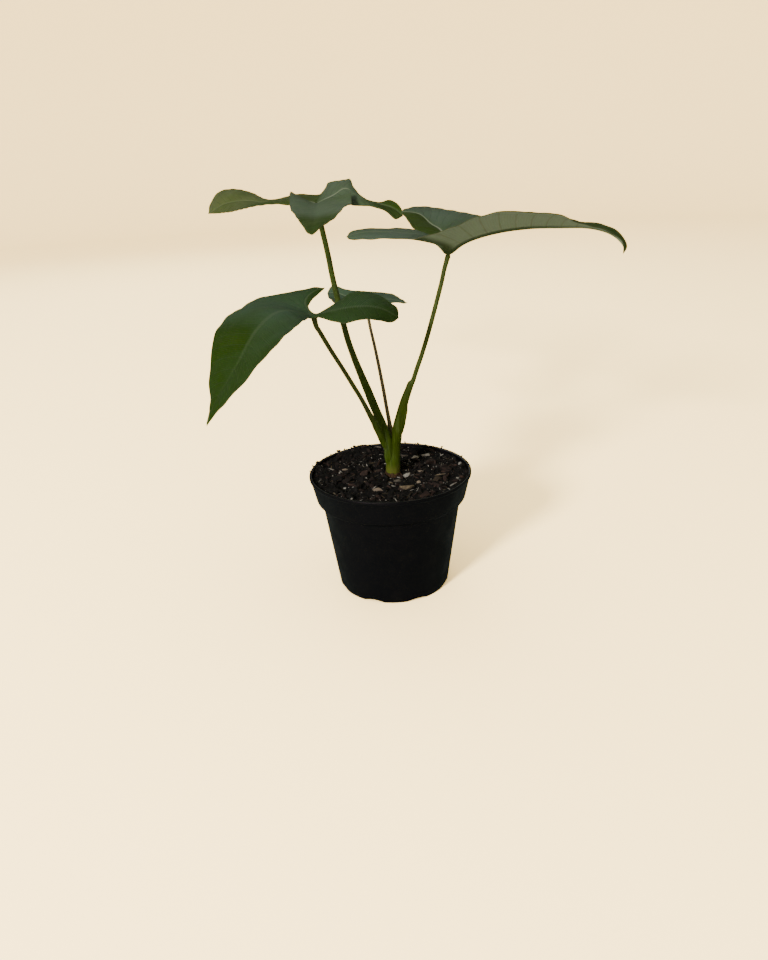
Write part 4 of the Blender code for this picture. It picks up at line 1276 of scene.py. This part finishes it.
def make_stalk(tree, name, finish):
    """One stalk, from inside the crown up into the foot of its blade."""
    line = stem_points(name)
    line = line[line[:, 2] > SHEATHS[name][-1][2] - SHEATH_LAP]
    run = run_along(line)
    left = run[-1] - FUNNEL_DEPTH[name] + STEM_INTO_FUNNEL - run
    line, left = line[left > 0], left[left > 0]
    line[:, 3] *= 1 - STEM_TIP_SHARE * np.clip(1 - left / STEM_TIP_TAPER, 0, 1)
    mesh = mesh_of("stem_" + name, line[:, :3], [], [(i, i + 1) for i in range(len(line) - 1)])
    store(mesh, "girth", line[:, 3] * MM)
    top, height = WINGS[name]
    z = line[:, 2]
    store(mesh, "wing", height * MM * (np.clip((z - WING_FOOT) / WING_RISE, 0, 1)
                                       * np.clip((top - z) / WING_FALL, 0, 1)))
    stem = run_tree(add_object("stem_" + name, mesh), tree, sides=STALK_SIDES, wing_side=WING_SIDE,
                    wing_spread=WING_SPREAD, finish=finish)
    shade(stem, SHARP_ANGLES["stalk"])
    piece(stem, "stalk", "stalk_" + name)


def make_stems():
    """The crown of sheaths and the stalks that rise from it, in the same skins."""
    skins = {name: stalk_skin(f"stem_{name}_skin", *colours) for name, colours in STALK_COLOURS.items()}
    make_crown(skins)
    tree = stalk_tree()
    for name, skin in skins.items():
        make_stalk(tree, name, skin)


# Leaf blades

def half_lobe(rib, margin, rows):
    """Points from the rib out to the margin, slightly arched between them, and each one's share of the way."""
    inner, outer = smooth_curve(rib, rows), smooth_curve(margin, rows)
    share = np.linspace(0, 1, COLUMNS + 1) ** COLUMN_CROWDING
    v = share[None, :, None]
    reach = outer - inner
    up = np.cross(np.gradient(inner, axis=0), reach)
    up /= np.maximum(np.linalg.norm(up, axis=1)[:, None], TINY)
    up *= np.sign(up[:, 2:3] + TINY)
    fade = np.minimum(1, CAMBER_QUICKNESS * np.linspace(0, 1, rows + 1))[:, None, None]
    lift = CAMBER * np.linalg.norm(reach, axis=1)[:, None, None] * 4 * v * (1 - v) * fade
    return inner[:, None] + reach[:, None] * v + up[:, None] * lift, share


def blade_grid(leaf, looks):
    """The middle surface: points, faces that look up, and at each point its place on the blade and its looks."""
    points, faces, places, veins, tones = [], [], [], [], []
    width = COLUMNS + 1
    for number, (lobe, (left, right, rib_share, vein_share)) in enumerate(zip(leaf["lobes"], looks)):
        rib = [leaf["apex"], *lobe["rib"]]
        length = length_of(rib)
        rows = max(FEWEST_ROWS, round(length / ROW_STEP))
        along = np.linspace(0, 1, rows + 1)[:, None]
        for step, margin, sinus, levels in ((1, "left", number, left), (-1, "right", number - 1, right or left)):
            outline = [leaf["sinuses"][sinus], *lobe[margin], lobe["rib"][-1]]
            grid, share = half_lobe(rib, outline, rows)
            first = len(points)
            points += list(grid.reshape(-1, 3))
            reach = np.linalg.norm(np.diff(grid, axis=1), axis=2).cumsum(axis=1)
            reach = np.hstack([np.zeros((rows + 1, 1)), reach])
            flat = np.zeros((1, width))
            places += list(np.stack([along * length + flat, reach, reach[:, -1:] - reach], 2).reshape(-1, 3))
            lean = 1 - VEIN_LEAN * share[None] ** VEIN_BEND * (1 - along)
            veins += list((length / VEIN_SPACING * along * lean).ravel())
            # Painted sheen along each half lobe
            painted_sheen = np.interp(along, np.linspace(0, 1, len(levels)), levels) + flat
            shown = np.ones_like(painted_sheen)
            tones += list(np.stack([painted_sheen, rib_share * shown, vein_share * shown], 2).reshape(-1, 3))
            for row in range(rows):
                for a in range(first + row * width, first + row * width + COLUMNS):
                    faces.append((a, a + width, a + width + 1, a + 1)[::step])
    return [np.array(values) for values in (points, faces, places, veins, tones)]


def welded(points, faces, *values):
    """Points that coincide made one, with degenerate sides dropped from the faces."""
    _, first, index = np.unique(np.round(points, 4), axis=0, return_index=True, return_inverse=True)
    rings = [list(dict.fromkeys(face)) for face in index.reshape(-1)[faces]]
    return points[first], [ring for ring in rings if len(ring) > 2], *(value[first] for value in values)


def neighbours(count, faces):
    """Pairs of points joined by an edge, and how many each point has."""
    pairs = {tuple(sorted((face[k - 1], face[k]))) for face in faces for k in range(len(face))}
    pairs = np.array(sorted(pairs))
    both = np.vstack([pairs, pairs[:, ::-1]])
    return both, np.bincount(both[:, 0], minlength=count)


def relaxed(points, both, counts, weight, rounds):
    """Points eased towards the middle of their neighbours, by the weight of each."""
    for _ in range(rounds):
        total = np.zeros_like(points)
        np.add.at(total, both[:, 0], points[both[:, 1]])
        points = points + weight[:, None] * (total / counts[:, None] - points)
    return points


def normals_of(points, faces):
    """Unit normals at the points, from faces that look up."""
    total = np.zeros_like(points)
    for corners in (3, 4):
        group = np.array([face for face in faces if len(face) == corners])
        if not len(group):
            continue
        turn = np.cross(points[group[:, -2]] - points[group[:, 0]],
                        points[group[:, -1]] - points[group[:, corners - 3]])
        for k in range(corners):
            np.add.at(total, group[:, k], turn)
    return total / np.maximum(np.linalg.norm(total, axis=1)[:, None], 1e-12)


def funnelled(points, name):
    """The blade drawn down round its apex, towards its stalk."""
    line = np.array(STALKS[name]["line"][-2:], float)
    down = (line[0] - line[1]) / np.linalg.norm(line[0] - line[1])
    away = np.linalg.norm(points - line[1], axis=1)
    return points + down * (FUNNEL_DEPTH[name] * np.exp(-((away / FUNNEL_REACH[name]) ** 2)))[:, None]


def blade_middle(leaf, looks):
    """The middle surface, with the seams between lobes eased and the small waves of a grown blade."""
    points, faces, places, veins, tones = welded(*blade_grid(leaf, looks))
    both, counts = neighbours(len(points), faces)
    along, from_rib, from_edge = places.T
    near_seam = np.clip(1 - along / SEAM_REACH, 0, 1)
    tones = relaxed(tones, both, counts, np.full(len(points), FULL_EASE), TONE_ROUNDS)
    _, rib_share, vein_share = tones.T
    inside = (from_edge > FIXED_MARGIN).astype(float)
    everywhere, at_seam, unribbed = EASING
    weight = inside * np.clip(everywhere + at_seam * near_seam + unribbed * (1 - rib_share), 0, FULL_EASE)
    points = relaxed(points, both, counts, weight, SEAM_ROUNDS)
    ribless = inside * np.clip(1 - RIB_HOLD * rib_share, 0, 1)
    points = relaxed(points, both, counts, FULL_EASE * ribless, UNRIBBED_ROUNDS)
    wide = np.minimum(from_edge, from_rib) / PUFF_REACH
    puff = PUFF * vein_share * np.sin(math.pi * veins) ** 2 * np.clip(wide, 0, 1)
    x, y = points[:, 0], points[:, 1]
    (across, start_across), (back, start_back), (aslant, share) = WAVES
    wave = np.sin(across * x + start_across) * np.sin(back * y + start_back) + share * np.sin(aslant * (x + y))
    outer = from_rib / np.maximum(from_rib + from_edge, 1e-6)
    wave = MARGIN_WAVE * wave * outer**2 * np.clip(along / WAVE_START, 0, 1)
    points = points + normals_of(points, faces) * (puff + wave)[:, None]
    return points, faces, places, veins, tones, normals_of(points, faces)


def margin_ring(faces):
    """Edges with one face only, each in the way that its face runs."""
    seen = {}
    for face in faces:
        for a, b in zip(face[-1:] + face, face):
            key = (min(a, b), max(a, b))
            seen[key] = None if key in seen else (a, b)
    return [pair for pair in seen.values() if pair]


def make_leaf(name, top_skin, under_skin):
    """A closed thin blade: a smooth top with sunk ribs, an underside with raised ribs, and a margin."""
    points, faces, places, veins, tones, up = blade_middle(LEAVES[name], LOBE_LOOKS[name])
    points = funnelled(points, name)
    along, from_rib, from_edge = places.T
    count = len(points)
    half = BLADE / 2 * (MARGIN_SHARE + (1 - MARGIN_SHARE) * np.clip(from_edge / MARGIN_REACH, 0, 1))
    fade = np.exp(-along / RIB_FADE)
    groove = GROOVE_DEPTH * tones[:, 1] * np.exp(-((from_rib / GROOVE_HALF_WIDTH) ** 2))
    width = RIB_HALF_WIDTH * (RIB_WIDTH_SHARES[0] + RIB_WIDTH_SHARES[1] * fade)
    ridge = RIB_HEIGHT * (RIB_HEIGHT_SHARES[0] + RIB_HEIGHT_SHARES[1] * fade)
    ridge = ridge * np.exp(-((from_rib / width) ** 2)) * np.clip(from_edge / RIB_TO_MARGIN, 0, 1)
    both = np.vstack([points + up * (half - groove)[:, None], points - up * (half + ridge)[:, None]])
    under = [[i + count for i in face[::-1]] for face in faces]
    rim = [(a + count, b + count, b, a) for a, b in margin_ring(faces)]
    mesh = mesh_of("blade_" + name, both, faces + under + rim)
    store(mesh, "leaf_place", np.vstack([places, places]))
    store(mesh, "vein_count", np.append(veins, veins))
    store(mesh, "looks", np.vstack([tones, tones]))
    leaf = add_object("blade_" + name, mesh, top_skin, under_skin)
    slots = np.zeros(len(mesh.polygons), np.int32)
    slots[len(faces):2 * len(faces)] = 1
    mesh.polygons.foreach_set("material_index", slots)
    shade(leaf, SHARP_ANGLES["leaf"])
    piece(leaf, "leaf", "leaf_" + name)


def make_leaves():
    """Each blade with a skin for its top and one for its underside."""
    for name, (tones, under, rib_width, gloss) in LEAF_COLOURS.items():
        top = leaf_skin(f"blade_{name}_top", tones, rib_width=rib_width, gloss=gloss, **TOP_SKIN)
        # The underside's tones follow the same painted sheen value
        tones = (scaled(under, 1.25), under, scaled(under, 0.9))
        make_leaf(name, top, leaf_skin(f"blade_{name}_underside", tones, **UNDER_SKIN))


# Pieces, camera and light

def piece(obj, slot, *nodes):
    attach(obj, "root")
    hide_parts(*nodes)


def make_camera():
    data = bpy.data.cameras.new("camera")
    data.sensor_fit = "AUTO"
    data.sensor_width = CAMERA_SENSOR
    data.lens = CAMERA_LENS
    data.clip_start = CAMERA_NEAR
    camera = add_object("camera", data)
    forward = Vector((0, math.cos(CAMERA_PITCH), -math.sin(CAMERA_PITCH)))
    right, down = Vector((1, 0, 0)), Vector((0, -math.sin(CAMERA_PITCH), -math.cos(CAMERA_PITCH)))
    c, s = math.cos(CAMERA_ROLL), math.sin(CAMERA_ROLL)
    x, y = c * right + s * down, -s * right + c * down
    turn = Matrix((x, -y, -forward)).transposed().to_4x4()
    camera.matrix_world = Matrix.Translation(Vector(CAMERA_PLACE) * MM) @ turn
    bpy.context.scene.camera = camera


def soft_light(name, place, target, size, power, colour):
    data = bpy.data.lights.new(name, "AREA")
    data.shape = "DISK"
    data.size = size
    data.energy = power
    data.color = colour
    lamp = add_object(name, data)
    aim = (target - Vector(place)).to_track_quat("-Z", "Y")
    lamp.matrix_world = Matrix.Translation(place) @ aim.to_matrix().to_4x4()
    return lamp


def make_lights():
    target = Vector(LIT_PLACE)
    lamp = target + LAMP_DISTANCE * (Vector(LAMP_PLACE) * MM - target)
    soft_light("key_light", lamp, target, size=0.42, power=36.0, colour=(1.0, 0.965, 0.91))
    sky = soft_light("cool_back_light", (-0.5, 1.5, 1.2), target, size=1.5, power=3.0, colour=(0.80, 0.90, 1.0))
    sky.visible_camera = False
    sky.visible_glossy = False
    world = bpy.data.worlds.new("studio")
    bpy.context.scene.world = world
    world.use_nodes = True
    tree = world.node_tree
    plug(tree, tree.nodes["Background"].inputs["Color"], by_ray(tree, AIR, AIR_IN_GLOSS, AIR_TO_EYE))


def make_floor():
    """A round pale floor that sweeps up far away on every side of the plant."""
    bend = [(FLOOR_FLAT + FLOOR_BEND * math.sin(a), FLOOR_BEND * (1 - math.cos(a)))
            for a in np.linspace(0, math.pi / 2, FLOOR_BEND_RINGS)]
    points, faces = lathe([*FLOOR_RINGS, *bend, (FLOOR_FLAT + FLOOR_BEND, FLOOR_HEIGHT)], FLOOR_SIDES)
    floor = add_object("floor", mesh_of("floor", np.array(points) / MM, turned_over(faces)), pale_floor())
    floor.data.shade_smooth()


make_camera()
make_lights()
make_floor()
make_pot()
make_soil_and_chips()
make_stems()
make_leaves()
